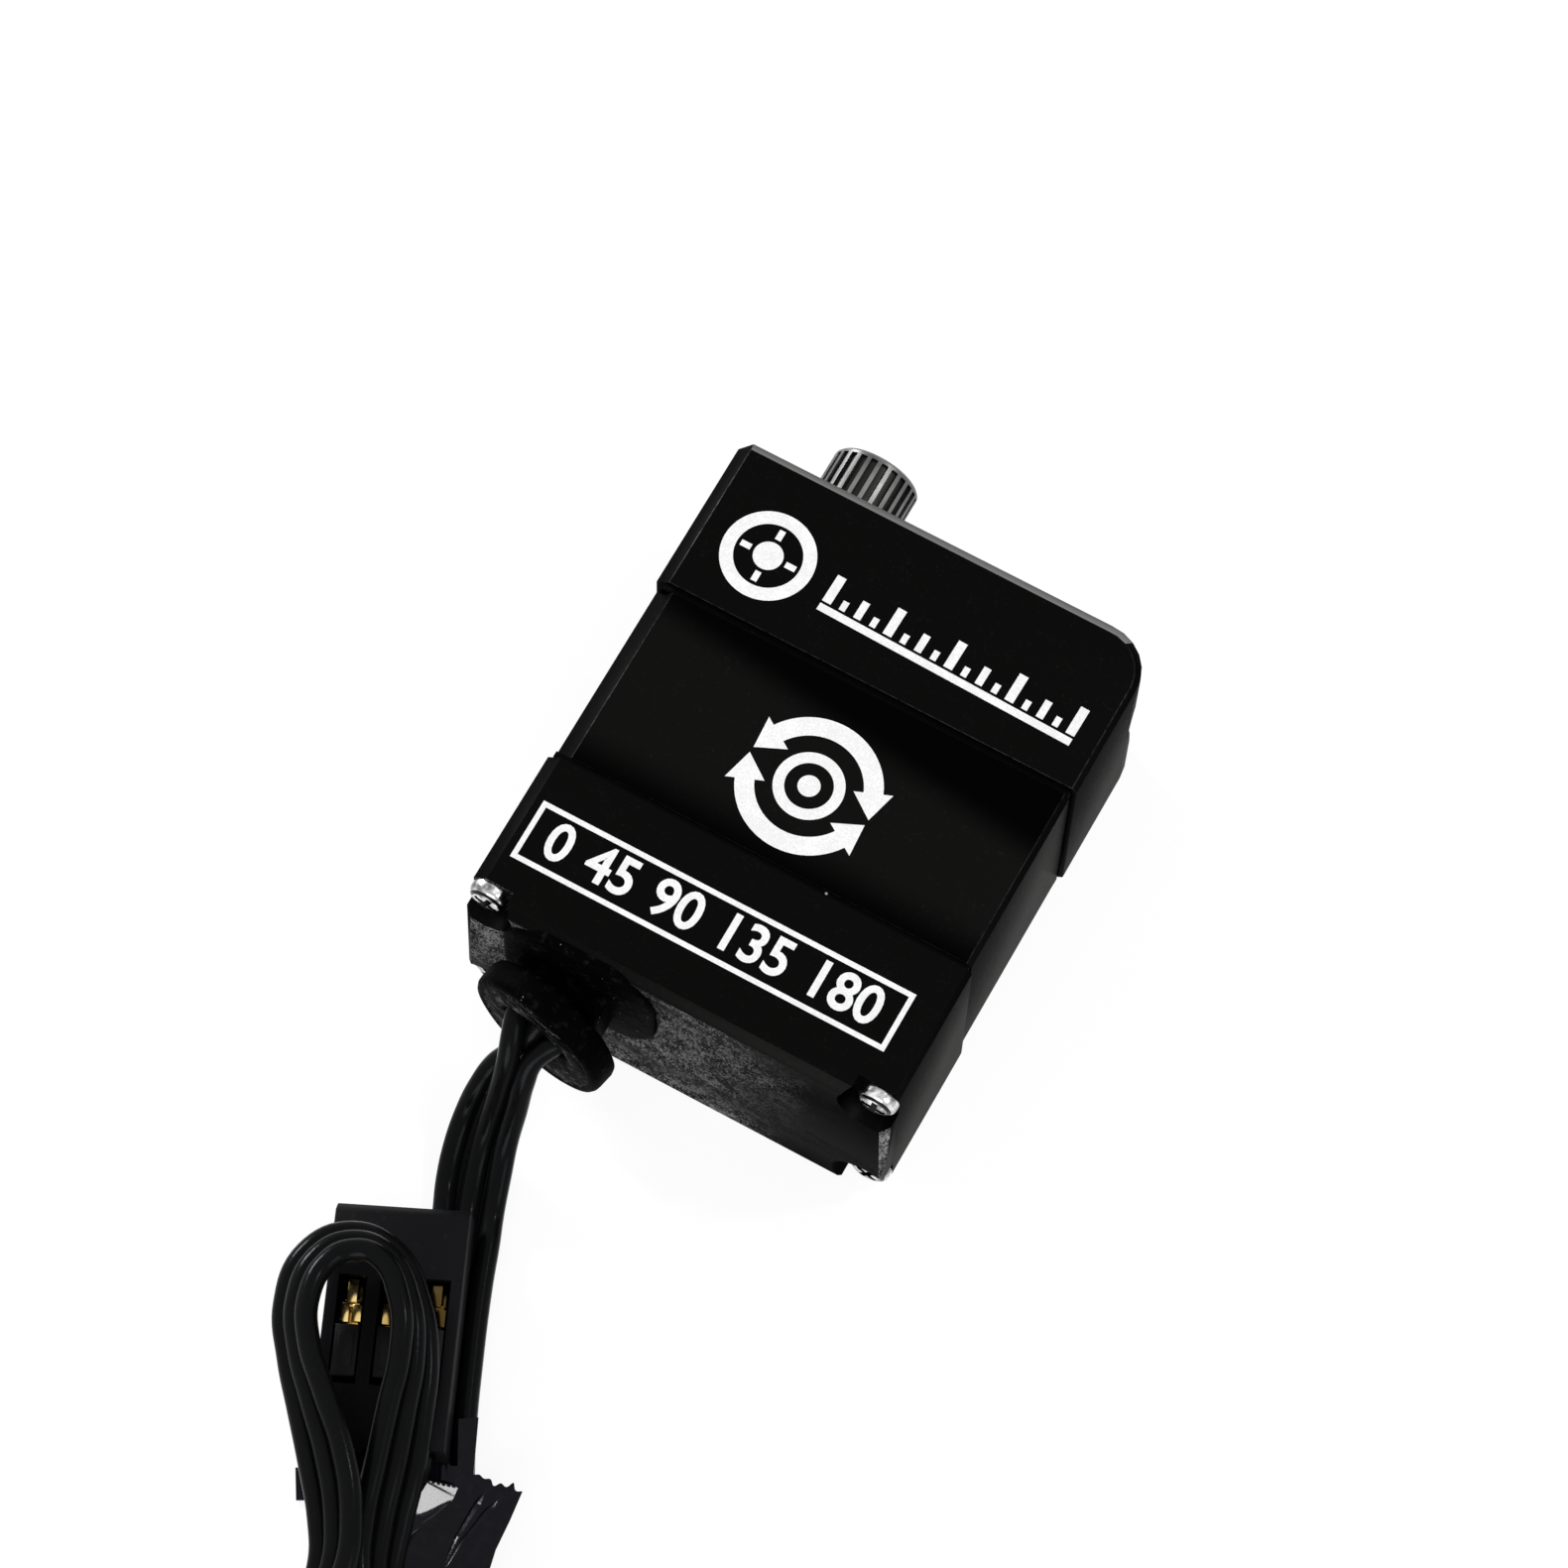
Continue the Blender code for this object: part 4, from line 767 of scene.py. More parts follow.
# Painted light: the left chamfers of all sections and the top chamfer of the upper section
# are painted lighter.
LEFT_PAINTED_LIGHT = ("painted_light_band", 0.004, (-1, 0, 1))
# The end face and its right corner carry blasted speckle made stronger as painted light,
# fading to the right as painted shade.
case_section("bottom_cover_shell", "bottom_cover", ("blasted_and_painted_light", 0.5, (0, -1, 0)),
             ("right_end_shade", 1.0, (0, -1, 0)), ("blasted_and_painted_light", 0.7, (1, -1, 0)), LEFT_PAINTED_LIGHT)
# The middle section's front takes the painted seam shade.
case_section("middle_case_shell", "middle_case", ("painted_seam_shade", 1.0, (0, 0, 1)), LEFT_PAINTED_LIGHT)
case_section("gear_case_shell", "gear_case", ("painted_light_band", 0.5, (0, 1, 1)), LEFT_PAINTED_LIGHT)

# %% [markdown]
# Each seam is closed by a gasket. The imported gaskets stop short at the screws, so a thin
# lip of the same rubber runs right round just inside each seam and hides the screws.

# %% Gasket lips
LIP_INSET = Vector((0.12 * MM, 0, 0.12 * MM))
LIP_WALL = 0.2 * MM


def gasket_lip(name, lower, upper):
    """A thin rubber wall round the seam between two case sections."""
    (lower_low, lower_high), (upper_low, upper_high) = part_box(lower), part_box(upper)
    low = Vector(map(max, lower_low, upper_low)) + LIP_INSET
    high = Vector(map(min, lower_high, upper_high)) - LIP_INSET
    low.y, high.y = lower_high.y, upper_low.y
    bm = box_bmesh(low, high)
    ends = [face for face in bm.faces if abs(face.normal.y) > 0.9]
    bmesh.ops.delete(bm, geom=ends, context="FACES_ONLY")
    bmesh.ops.solidify(bm, geom=bm.faces[:], thickness=LIP_WALL)
    return make_piece(name, bm, RUBBER)


LIPS = [gasket_lip("lower_gasket_lip", "bottom_cover", "middle_case"),
        gasket_lip("upper_gasket_lip", "middle_case", "gear_case")]
print("lips", [len(lip.data.polygons) for lip in LIPS])

# %% [markdown]
# The white marks are printed ink. They are plain signs of what a servo does: a mark for
# the output shaft, a graduated scale, an arrow that turns both ways, and a row of angles
# in a frame. Each starts as flat faces in millimetres and gets a hair of thickness.

# %% Helpers for prints
INK = 0.03 * MM


def spoke(angle):
    """A unit vector at an angle in degrees."""
    return Vector((math.cos(math.radians(angle)), math.sin(math.radians(angle)), 0))


def flat_ring(bm, inner, outer, start=0.0, sweep=360.0):
    """A flat band round the centre, spun from one short edge."""
    ends = [bm.verts.new(spoke(start) * radius) for radius in (inner, outer)]
    edge = bm.edges.new(ends)
    bmesh.ops.spin(bm, geom=ends + [edge], cent=(0, 0, 0), axis=(0, 0, 1),
                   angle=math.radians(sweep), steps=int(sweep / 5),
                   use_merge=sweep == 360.0)


def flat_bar(bm, left, low, right, high, turn=0.0):
    """A flat rectangle, turned about the centre."""
    new = bmesh.ops.create_grid(bm, x_segments=1, y_segments=1, size=0.5)["verts"]
    bmesh.ops.scale(bm, vec=(right - left, high - low, 1), verts=new)
    bmesh.ops.translate(bm, vec=((left + right) / 2, (low + high) / 2, 0), verts=new)
    bmesh.ops.rotate(bm, matrix=Matrix.Rotation(math.radians(turn), 3, "Z"), verts=new)


def thicken_flat(bm, sheet, height):
    """Give flat faces a thickness by raising a copy of them."""
    raised = bmesh.ops.extrude_face_region(bm, geom=sheet, use_keep_orig=True)["geom"]
    tops = [item for item in raised if isinstance(item, bmesh.types.BMVert)]
    bmesh.ops.translate(bm, vec=(0, 0, height), verts=tops)


def printed(name, bm, centre, node):
    """Lay flat millimetre faces on the front of a case section, as ink."""
    bmesh.ops.remove_doubles(bm, verts=bm.verts[:], dist=0.0005)
    spot = place(*centre, 0)
    spot.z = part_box(node)[1].z - INK / 4
    for vert in bm.verts:
        vert.co = spot + Vector((vert.co.x, vert.co.y, 0)) * MM
    for flat in bm.faces:
        if flat.normal.z < 0:
            flat.normal_flip()
    thicken_flat(bm, bm.faces[:], INK)
    thing = make_piece(name, bm, PRINT, slot="black_anodised")
    print(name, "faces", len(thing.data.polygons))


print("ink", round(INK / MM, 3))

# %% Turning arrow on the middle section
arrow_bm = bmesh.new()
for start in (22, 202):
    flat_ring(arrow_bm, 3.3, 4.5, start, 125)
    for angle, way in ((start, -1), (start + 125, 1)):
        out = spoke(angle)
        ahead = Vector((-out.y, out.x, 0)) * way
        corners = (out * 2.7, out * 5.1, out * 3.8 + ahead * 1.75)
        arrow_bm.faces.new([arrow_bm.verts.new(corner) for corner in corners])
flat_ring(arrow_bm, 1.5, 2.2)
bmesh.ops.create_circle(arrow_bm, cap_ends=True, segments=36, radius=0.7)
printed("turn_arrow_print", arrow_bm, (0.25, 16.2), "middle_case")

# %% Shaft mark and scale on the upper section
mark_bm = bmesh.new()
flat_ring(mark_bm, 2.15, 3.0)
bmesh.ops.create_circle(mark_bm, cap_ends=True, segments=36, radius=0.95)
for quarter in range(4):
    flat_bar(mark_bm, 1.2, -0.2, 1.9, 0.2, 90 * quarter)
printed("shaft_mark_print", mark_bm, (-9.2, 28.2), "gear_case")

SCALE_STEPS = 16
SCALE_WIDTH = 17.0
SCALE_TURN = Matrix.Rotation(math.radians(-1.5), 3, "Z")
TICKS = ((1.35, 0.3), (0.05, 0.2), (0.65, 0.24), (0.05, 0.2))
scale_bm = bmesh.new()
flat_bar(scale_bm, -SCALE_WIDTH / 2 - 0.3, -1.3, SCALE_WIDTH / 2 + 0.3, -0.8)
for step in range(SCALE_STEPS + 1):
    across = (step / SCALE_STEPS - 0.5) * SCALE_WIDTH
    tall, half = TICKS[step % 4]
    flat_bar(scale_bm, across - half, -0.62, across + half, tall)
for vert in scale_bm.verts:
    vert.co = SCALE_TURN @ vert.co
printed("scale_print", scale_bm, (3.9, 27.6), "gear_case")

# %% Row of angles in a frame on the lower section
FRAME_LOW, FRAME_HIGH = Vector((-13.1, 3.4)), Vector((12.3, 7.5))
FRAME_MIDDLE = (FRAME_LOW + FRAME_HIGH) / 2
FRAME_LINE = 0.33
ROW_WIDTH = 22.6

frame_bm = bmesh.new()
half_size = (FRAME_HIGH - FRAME_LOW) / 2
flat_bar(frame_bm, -half_size.x, -half_size.y, half_size.x, half_size.y)
bmesh.ops.inset_region(frame_bm, faces=frame_bm.faces[:], thickness=FRAME_LINE,
                       use_even_offset=True, use_boundary=True)
widest = max(frame_bm.faces, key=lambda face: face.calc_area())
bmesh.ops.delete(frame_bm, geom=[widest], context="FACES_ONLY")
printed("angle_frame_print", frame_bm, FRAME_MIDDLE, "bottom_cover")

words = configured(bpy.data.curves.new("angles", "FONT"), body="0 45 90 135 180",
                   size=3.5, offset=0.07, align_x="CENTER", align_y="CENTER",
                   resolution_u=5, space_word=1.25)
holder = new_object("angles", words)
graph = bpy.context.evaluated_depsgraph_get()
angles_bm = bmesh.new()
angles_bm.from_mesh(bpy.data.meshes.new_from_object(holder.evaluated_get(graph)))
bpy.data.objects.remove(holder, do_unlink=True)
bmesh.ops.remove_doubles(angles_bm, verts=angles_bm.verts[:], dist=0.0005)
sides = [vert.co.x for vert in angles_bm.verts]
bmesh.ops.scale(angles_bm, vec=(ROW_WIDTH / (max(sides) - min(sides)), 1, 1),
                verts=angles_bm.verts[:])
printed("angles_print", angles_bm, FRAME_MIDDLE, "bottom_cover")

# %% [markdown]
# Four long screws hold the case sections together. Each has a bright pan head with a
# cross recess. The head is spun from its side profile, and the recess is cut by two
# tapered blades crossed at the middle, which is how the punch that makes it is shaped.

# %% Case screws
HEAD_RADIUS = 1.3
HEAD_DEPTH = 0.95
SHANK_RADIUS = 0.64
SCREW_TURNS = {1: 24, 2: 8, 3: 51, 4: 33}


def cross_blade(turn, middle):
    """One tapered blade of the punch that forms the recess."""
    bm = bmesh.new()
    bmesh.ops.create_cube(bm, size=1.0)
    bmesh.ops.scale(bm, vec=(2.3, 1.4, 0.46), verts=bm.verts[:])
    for vert in bm.verts:
        if vert.co.y > 0:
            vert.co.x *= 0.4
            vert.co.z *= 0.7
    bmesh.ops.rotate(bm, matrix=Matrix.Rotation(math.radians(turn), 3, "Y"),
                     verts=bm.verts[:])
    bmesh.ops.scale(bm, vec=(MM, MM, MM), verts=bm.verts[:])
    bmesh.ops.translate(bm, vec=middle, verts=bm.verts[:])
    return bm


def case_screw(number, turn):
    node = f"case_screw_{number}"
    low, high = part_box(node)
    middle = (low + high) / 2
    middle.y = low.y
    length = (high.y - low.y) / MM
    profile = [(0, 0.0), (0.62, 0.0), (0.92, 0.07), (1.14, 0.2), (1.26, 0.38),
               (HEAD_RADIUS, 0.55), (HEAD_RADIUS, HEAD_DEPTH - 0.04), (1.26, HEAD_DEPTH),
               (SHANK_RADIUS, HEAD_DEPTH), (SHANK_RADIUS, length - 0.5), (0.3, length),
               (0, length)]
    screw = make_piece(f"{node}_detail", spun(profile, middle), PLATED, replaces=[node])

    def in_cross(face):
        spot = (face.calc_center_median() - middle) / MM
        return math.hypot(spot.x, spot.z) < 1.05 and 0.12 < spot.y < 0.8

    # The faces down in the cross recess get painted shade.
    cut(screw, [loose_object(f"{node}_blade_{extra}", cross_blade(turn + extra, middle))
                for extra in (0, 90)], 30, in_cross)
    return screw


SCREWS = [case_screw(number, turn) for number, turn in SCREW_TURNS.items()]
print("screws", [len(screw.data.polygons) for screw in SCREWS])

# %% [markdown]
# The output shaft ends in a fine spline that grips the servo horn. On the real part the
# grooves are rolled in and stop just short of the chamfered rim. A cylinder gives the
# lands. Each groove is a few neighbouring faces, inset and pushed inward, and its corners
# are rounded, so the ends of the groove come out round as a roller leaves them.

# %% Output spline
SHAFT_LOW, SHAFT_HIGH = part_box("output_shaft")
SHAFT_X, SHAFT_Z = (SHAFT_LOW.x + SHAFT_HIGH.x) / 2, (SHAFT_LOW.z + SHAFT_HIGH.z) / 2
TEETH = 25
FACES_PER_TOOTH = 8
GROOVE_FACES = 5
GROOVE_DEPTH = 0.24 * MM
LAND_RADIUS = 2.95
TIP = 39.6
GROOVE_TOP = TIP - 0.42
GROOVE_FOOT = 35.75
SHAFT_ROWS = [
    (1.25, 31.6), (1.25, TIP - 0.12), (1.37, TIP), (2.62, TIP), (2.8, TIP - 0.06),
    (LAND_RADIUS, TIP - 0.24), (LAND_RADIUS, GROOVE_TOP), (LAND_RADIUS, GROOVE_FOOT),
    (2.97, 35.6), (3.06, 35.35), (3.22, 34.95), (3.25, 34.5), (2.9, 34.2), (2.9, 31.15),
    (2.5, 31.15), (2.5, 24.1), (2.42, 23.9), (2.42, 20.4), (1.15, 20.4), (1.15, 23.1)]


def from_shaft(point):
    """A point's distance from the shaft's axis and its height up the case."""
    return math.hypot(point.x - SHAFT_X, point.z - SHAFT_Z) / MM, (point.y - END_Y) / MM


def grooves_of(bm):
    """Groups of neighbouring barrel faces, one group for each groove."""
    barrel = []
    for face in bm.faces:
        radius, height = from_shaft(face.calc_center_median())
        halfway = abs(height - (GROOVE_TOP + GROOVE_FOOT) / 2) < 0.1
        if halfway and radius > 2.9 and face.calc_area() > 0.1 * MM * MM:
            barrel.append(face)

    def around(face):
        spot = face.calc_center_median()
        return math.atan2(spot.z - SHAFT_Z, spot.x - SHAFT_X) % (2 * math.pi)

    barrel.sort(key=around)
    return [barrel[i:i + GROOVE_FACES] for i in range(0, len(barrel), FACES_PER_TOOTH)]


def is_groove_corner(edge):
    """A short radial edge where two walls of a groove meet."""
    radii, heights = zip(*[from_shaft(vert.co) for vert in edge.verts])
    deep = min(radii) < LAND_RADIUS - 0.2 and max(radii) > LAND_RADIUS - 0.05
    inside = GROOVE_FOOT - 0.1 < min(heights) and max(heights) < GROOVE_TOP + 0.1
    return deep and inside and edge.is_manifold and abs(edge.calc_face_angle(0)) > 0.6


def is_in_groove(face):
    radius, height = from_shaft(face.calc_center_median())
    return 2.55 < radius < LAND_RADIUS - 0.16 and GROOVE_FOOT - 0.1 < height < GROOVE_TOP


shaft_bm = bmesh.new()
rings = []
for radius, along in SHAFT_ROWS:
    ring = bmesh.ops.create_circle(shaft_bm, segments=TEETH * FACES_PER_TOOTH,
                                   radius=radius * MM)["verts"]
    bmesh.ops.rotate(shaft_bm, matrix=Matrix.Rotation(math.radians(90), 3, "X"),
                     verts=ring)
    bmesh.ops.translate(shaft_bm, vec=(SHAFT_X, END_Y + along * MM, SHAFT_Z), verts=ring)
    rings.append({edge for vert in ring for edge in vert.link_edges})
for first, second in zip(rings, rings[1:]):
    bmesh.ops.bridge_loops(shaft_bm, edges=list(first) + list(second))
rims = [edge for edge in shaft_bm.edges if edge.is_boundary]
bmesh.ops.holes_fill(shaft_bm, edges=rims, sides=0)
bmesh.ops.recalc_face_normals(shaft_bm, faces=shaft_bm.faces[:])
grooves = grooves_of(shaft_bm)
for groove in grooves:
    bmesh.ops.inset_region(shaft_bm, faces=groove, thickness=0.02 * MM,
                           use_even_offset=True, depth=-GROOVE_DEPTH)
corners = [edge for edge in shaft_bm.edges if is_groove_corner(edge)]
round_edges(shaft_bm, corners, 0.17 * MM, 4)
# The faces in the grooves get painted shade.
mark_faces(shaft_bm, "painted_shade", 1.0, is_in_groove)
make_piece("output_spline", shaft_bm, STEEL, sharp=32, body="output",
           replaces=["output_shaft"])
print("grooves", len(grooves), "rounded corners", len(corners))

# %% [markdown]
# The grommet is a soft rubber collar that keeps the wires from rubbing on the case. Its
# flange is a thick disc, tilted where the wires pull it, with a deep throat. It is spun
# from its side profile, then the throat is stretched into the slot that three wires need.
# The face was torn from its mould, so it carries a mat of fine pale fibres. Behind it a
# neck passes into the case, and a pad of the same rubber fills the recess round it.

# %% Grommet rubber
FIBRES, given, leave = new_group("fibres", ["Mask"], Scale=1500.0)
lines = 0.0
for turn, offset in ((25, 0.0), (-20, 0.4), (50, 0.8)):
    noise = object_noise(FIBRES, given["Scale"], 1.0, 0.5, (offset, offset, 0),
                         (0, math.radians(turn), 0), (0.16, 1.0, 1.0))
    off = math_node(FIBRES, "ABSOLUTE", minus(FIBRES, noise, 0.5))
    line = ramp(FIBRES, minus(FIBRES, 0.013, off), 0.0, 0.011)
    lines = math_node(FIBRES, "MAXIMUM", lines, line)
patch = ramp(FIBRES, object_noise(FIBRES, 700.0, 2.0), 0.34, 0.56)
feed(FIBRES, leave, "Mask", times(FIBRES, lines, patch))

GROMMET_RUBBER, tree = new_material("grommet_rubber", grey(0.001), 0.55,
                                    Specular_IOR_Level=0.007)
grain = use_group(tree, GRAIN, Scale=1500.0, Cover=0.42)
skin = mix_colour(tree, grain["Speckle"], grey(0.0006), grey(0.006))
fibres = use_group(tree, FIBRES, Scale=1500.0)["Mask"]
torn = times(tree, fibres, attribute(tree, "torn"))
colour = mix_colour(tree, torn, skin, (0.1, 0.1, 0.101))
specks = use_group(tree, DUST, Scale=2600.0, Size=0.1)["Mask"]
colour = mix_colour(tree, specks, colour, grey(0.2))
surface(GROMMET_RUBBER, colour, None, grain["Height"], 0.00014, 0.9)
print("grommet finish", GROMMET_RUBBER.name)

# %% Grommet
FLANGE_CENTRE = place(-7.3, -2.7, 7.9)
FLANGE_TURN = Matrix.Rotation(math.radians(-12), 4, "Z")
FLANGE_PROFILE = [
    (0, 0.9), (0.75, 0.85), (0.9, 0.3), (0.95, -0.4), (1.05, -0.8), (1.25, -0.95),
    (2.95, -1.0), (3.95, -0.98), (4.1, -0.92), (4.2, -0.97), (4.45, -1.0), (4.72, -0.9),
    (4.86, -0.68), (4.9, -0.4), (4.9, 0.55), (4.8, 0.85), (4.5, 1.0), (3.3, 1.02),
    (0, 1.15)]
THROAT_RADIUS = 1.5
TORN_RADIUS = 4.15

grommet_bm = spun(FLANGE_PROFILE, steps=72)
for vert in grommet_bm.verts:
    radius = math.hypot(vert.co.x, vert.co.z) / MM
    if radius < THROAT_RADIUS and vert.co.y < 0.95 * MM:
        vert.co.x *= 2.15
        vert.co.z = vert.co.z * 0.95 + 0.75 * MM


def is_torn(face):
    middle = face.calc_center_median()
    return middle.y < -0.9 * MM and math.hypot(middle.x, middle.z) / MM < TORN_RADIUS


mark_faces(grommet_bm, "torn", 1.0, is_torn)
grommet_bm.transform(Matrix.Translation(FLANGE_CENTRE) @ FLANGE_TURN)
neck = box_bmesh(place(-10.35, -1.9, 6.3), place(-4.2, 3.4, 11.0), 0.6 * MM, 3)
pad = box_bmesh(place(-11.6, -0.35, 5.7), place(-1.2, 1.1, 14.95))
round_edges(pad, [e for e in pad.edges if abs(e.verts[0].co.y - e.verts[1].co.y) > MM],
            3.1 * MM, 8)
front_rim = [e for e in pad.edges if all(v.co.y < END_Y for v in e.verts)]
round_edges(pad, front_rim, 0.3 * MM, 3)
for block in (neck, pad):
    add_part(grommet_bm, block)
GROMMET = make_piece("grommet_detail", grommet_bm, GROMMET_RUBBER, sharp=50,
                     slot="black_rubber", replaces=["grommet"])
print("grommet faces", len(GROMMET.data.polygons))

# %% [markdown]
# The plug is a thin three-way housing. A window over each contact holds a springy latch
# tongue that hooks behind it. The windows and the lanes of the contacts are cut out of a
# rounded box, and the tongues are set back into the windows.

# %% Plug housing
PLUG_HALF = Vector((4.1, PLUG_HALF_LENGTH, 1.3)) * MM
PLUG_TAIL = Vector((0, 1.2, 0)) * MM
PLUG_LANES = (-2.54, 0.0, 2.54)


def plug_box(lane, low, high, bevel=0.0):
    """A box in the plug's own directions, beside the middle of a lane, in millimetres."""
    low, high = [Vector((lane + x, y, z)) * MM for x, y, z in (low, high)]
    bm = box_bmesh(low, high, bevel * MM)
    bm.transform(PLUG_FRAME)
    return bm


housing_bm = box_bmesh(-PLUG_HALF - PLUG_TAIL, PLUG_HALF)
front_edge = [e for e in housing_bm.edges
              if all(v.co.y > 0 and v.co.z > 0 for v in e.verts)]
round_edges(housing_bm, front_edge, 0.5 * MM, 1)
sharp_ones = [e for e in housing_bm.edges if e.calc_face_angle(0) > 0.3]
round_edges(housing_bm, sharp_ones, 0.13 * MM, 2)
housing_bm.transform(PLUG_FRAME)
HOUSING = make_piece("plug_housing_detail", housing_bm, PLASTIC, sharp=40,
                     replaces=["plug_housing"])
plug_cuts = []
for lane in PLUG_LANES:
    for low, high in (((-0.92, -9, -0.85), (0.92, 8, 0.75)),
                      ((-0.86, -4.4, 0), (0.86, 2.4, 2))):
        plug_cuts.append(loose_object("plug_cutter", plug_box(lane, low, high)))
cut(HOUSING, plug_cuts, 35)

tongue_bm = bmesh.new()
for lane in PLUG_LANES:
    for low, high in (((-0.74, -3.9, 0.5), (0.74, -0.7, 1.24)),
                      ((-0.5, -3.4, 0.9), (0.5, -1.1, 1.3))):
        add_part(tongue_bm, plug_box(lane, low, high, 0.07))
# The tongues take the lighter plastic, which is painted light.
TONGUES = make_piece("plug_latches", tongue_bm, LIT_LATCH_PLASTIC, slot="black_plastic")
print("plug faces", len(HOUSING.data.polygons), "latch faces", len(TONGUES.data.polygons))

# %% [markdown]
# Each contact is a strip of gold plated sheet bent into a box. Seen through its window it
# has a narrow neck at the front and two lobes behind, which are the ends of the roof
# folded over from each side, and then a crimp that grips the wire. The contacts further
# under the hank are darkened with painted shade.

# %% Plug contacts
CONTACT_PARTS = [
    ((-0.28, 0.8, -0.3), (0.34, 2.2, 0.9)), ((-0.58, -0.5, -0.2), (-0.04, 0.72, 0.95)),
    ((0.14, -0.42, -0.2), (0.7, 0.66, 0.88)), ((-0.4, 0.5, 0.1), (0.55, 0.95, 0.8)),
    ((-0.5, -0.5, -0.75), (0.5, 3.4, -0.25)), ((-0.65, 3.2, -0.7), (-0.45, 6.4, 0.4)),
    ((0.45, 3.2, -0.7), (0.65, 6.4, 0.4)), ((-0.65, 3.2, -0.75), (0.65, 6.4, -0.5)),
    ((-0.5, -3.6, -0.6), (0.5, -0.4, 0.3))]
# How much painted shade each contact gets, darkest for the third, furthest under the hank.
HANK_SHADE = (0.0, 0.3, 0.93)
for number, (lane, hank_shade) in enumerate(zip(PLUG_LANES, HANK_SHADE), 1):
    contact_bm = bmesh.new()
    for low, high in CONTACT_PARTS:
        add_part(contact_bm, plug_box(lane, low, high, 0.05))
    mark_faces(contact_bm, "painted_shade", hank_shade, lambda face: True)
    node = f"plug_contact_{number}"
    make_piece(f"{node}_detail", contact_bm, GOLD, replaces=[node])

# %% [markdown]
# A strap of glossy film is wrapped round the hank, and its free end lies beside it,
# curled and creased. The wrap is a ring of the hank's own outline. The free end starts as
# a grid, is bent and creased by moving its points, and then gets a thickness.

# %% The free end of the tie
STRAP_INNER, STRAP_OUTER = -3.0, 2.6
STRAP_LENGTH = 19
STRAP_THICKNESS = 0.12 * MM
GLINT_SLOPE = 0.353
STRAP_LINE = [
    (14.85, 7.35, 1.75, 0), (16.5, 6.7, 1.85, 0), (18.5, 5.82, 2.0, 0),
    (20.5, 5.25, 2.2, -6), (22.5, 6.0, 2.6, -30), (24.5, 6.75, 2.85, -60),
    (27.0, 6.7, 3.0, -82), (29.5, 6.15, 3.1, -90), (32.5, 6.05, 3.1, -90)]


def strap_middle(distance):
    """Place and roll of the strap at a share of its length from its end."""
    spot = distance * (len(STRAP_LINE) - 1)
    index = min(int(spot), len(STRAP_LINE) - 2)
    part = spot - index
    part = part * part * (3 - 2 * part) * 0.5 + part * 0.5
    first, second = STRAP_LINE[index], STRAP_LINE[index + 1]
    s, v, z, roll = [a + (b - a) * part for a, b in zip(first, second)]
    return hank_place(s, v, z), math.radians(roll)


def ridge(offset, width):
    """A sharp crease: a steep inner side, and an outer side at the slope that glints."""
    return max(0.0, min(GLINT_SLOPE * (width - offset), 0.9 * (offset + width)))


def crumple(across, along):
    """Folds of the free end, in millimetres above its flat shape."""
    lift = GLINT_SLOPE * max(0.0, -1.0 - across)
    below = 0.79 * (across + 1.1) + 0.61 * (along - 3.0)
    above = -0.37 * (across + 1.0) - 0.93 * (along - 1.35)
    flap = max(0.0, lift - max(0.0, below) - max(0.0, above))
    neck = ridge(across + 2.6 - 0.35 * along, 0.16) if along < 1.8 else 0.0
    narrowing = min(1.0, max(0.0, (along - 0.9) / 1.2)) * max(0.35, 1.15 - along / 8)
    first = ridge(across - 0.35 + 0.1 * (along - 3), 0.25 * narrowing)
    second = ridge(across - 1.39 + 0.24 * (along - 1.5), 0.23 * narrowing)
    return max(flap, neck, first, second)


def torn_end(across):
    """How far the free end is torn back, in millimetres."""
    nick = 0.22 * math.exp(-((across - 0.9) / 0.2) ** 2)
    tab = -0.3 * math.exp(-((across - 1.9) / 0.16) ** 2)
    return 0.06 * math.sin(across * 9) + nick + tab


strap_bm = bmesh.new()
bmesh.ops.create_grid(strap_bm, x_segments=140, y_segments=160, size=1.0)
for vert in strap_bm.verts:
    across = STRAP_INNER + (STRAP_OUTER - STRAP_INNER) * (vert.co.x + 1) / 2
    share = (vert.co.y + 1) / 2
    here, roll = strap_middle(share)
    ahead, behind = [strap_middle(near)[0] for near in (min(share + 0.01, 1),
                                                        max(share - 0.01, 0))]
    way = (ahead - behind).normalized()
    side = Vector((-way.y, way.x, 0)).normalized()
    over = way.cross(side)
    side, over = (side * math.cos(roll) + over * math.sin(roll),
                  over * math.cos(roll) - side * math.sin(roll))
    along = share * STRAP_LENGTH
    end_pull = torn_end(across) * max(0.0, 1 - along / 0.5)
    vert.co = (here + side * across * MM + over * crumple(across, along) * MM
               + way * end_pull * MM)
bmesh.ops.solidify(strap_bm, geom=strap_bm.faces[:], thickness=STRAP_THICKNESS)


def film_scrap(corners, height):
    """A flat piece of film with corners (s, v), lying level beside the free end."""
    flat = [strap_bm.verts.new(hank_place(s, v, height)) for s, v in corners]
    thicken_flat(strap_bm, [strap_bm.faces.new(flat)], 0.15 * MM)


film_scrap([(11.3, 5.9), (11.2, 7.1), (14.9, 6.85), (15.2, 5.9)], 1.62)
film_scrap([(13.7, 3.0), (13.9, -3.85), (15.9, -3.75), (15.9, 3.0)], 0.08)
print("free end points", len(strap_bm.verts))

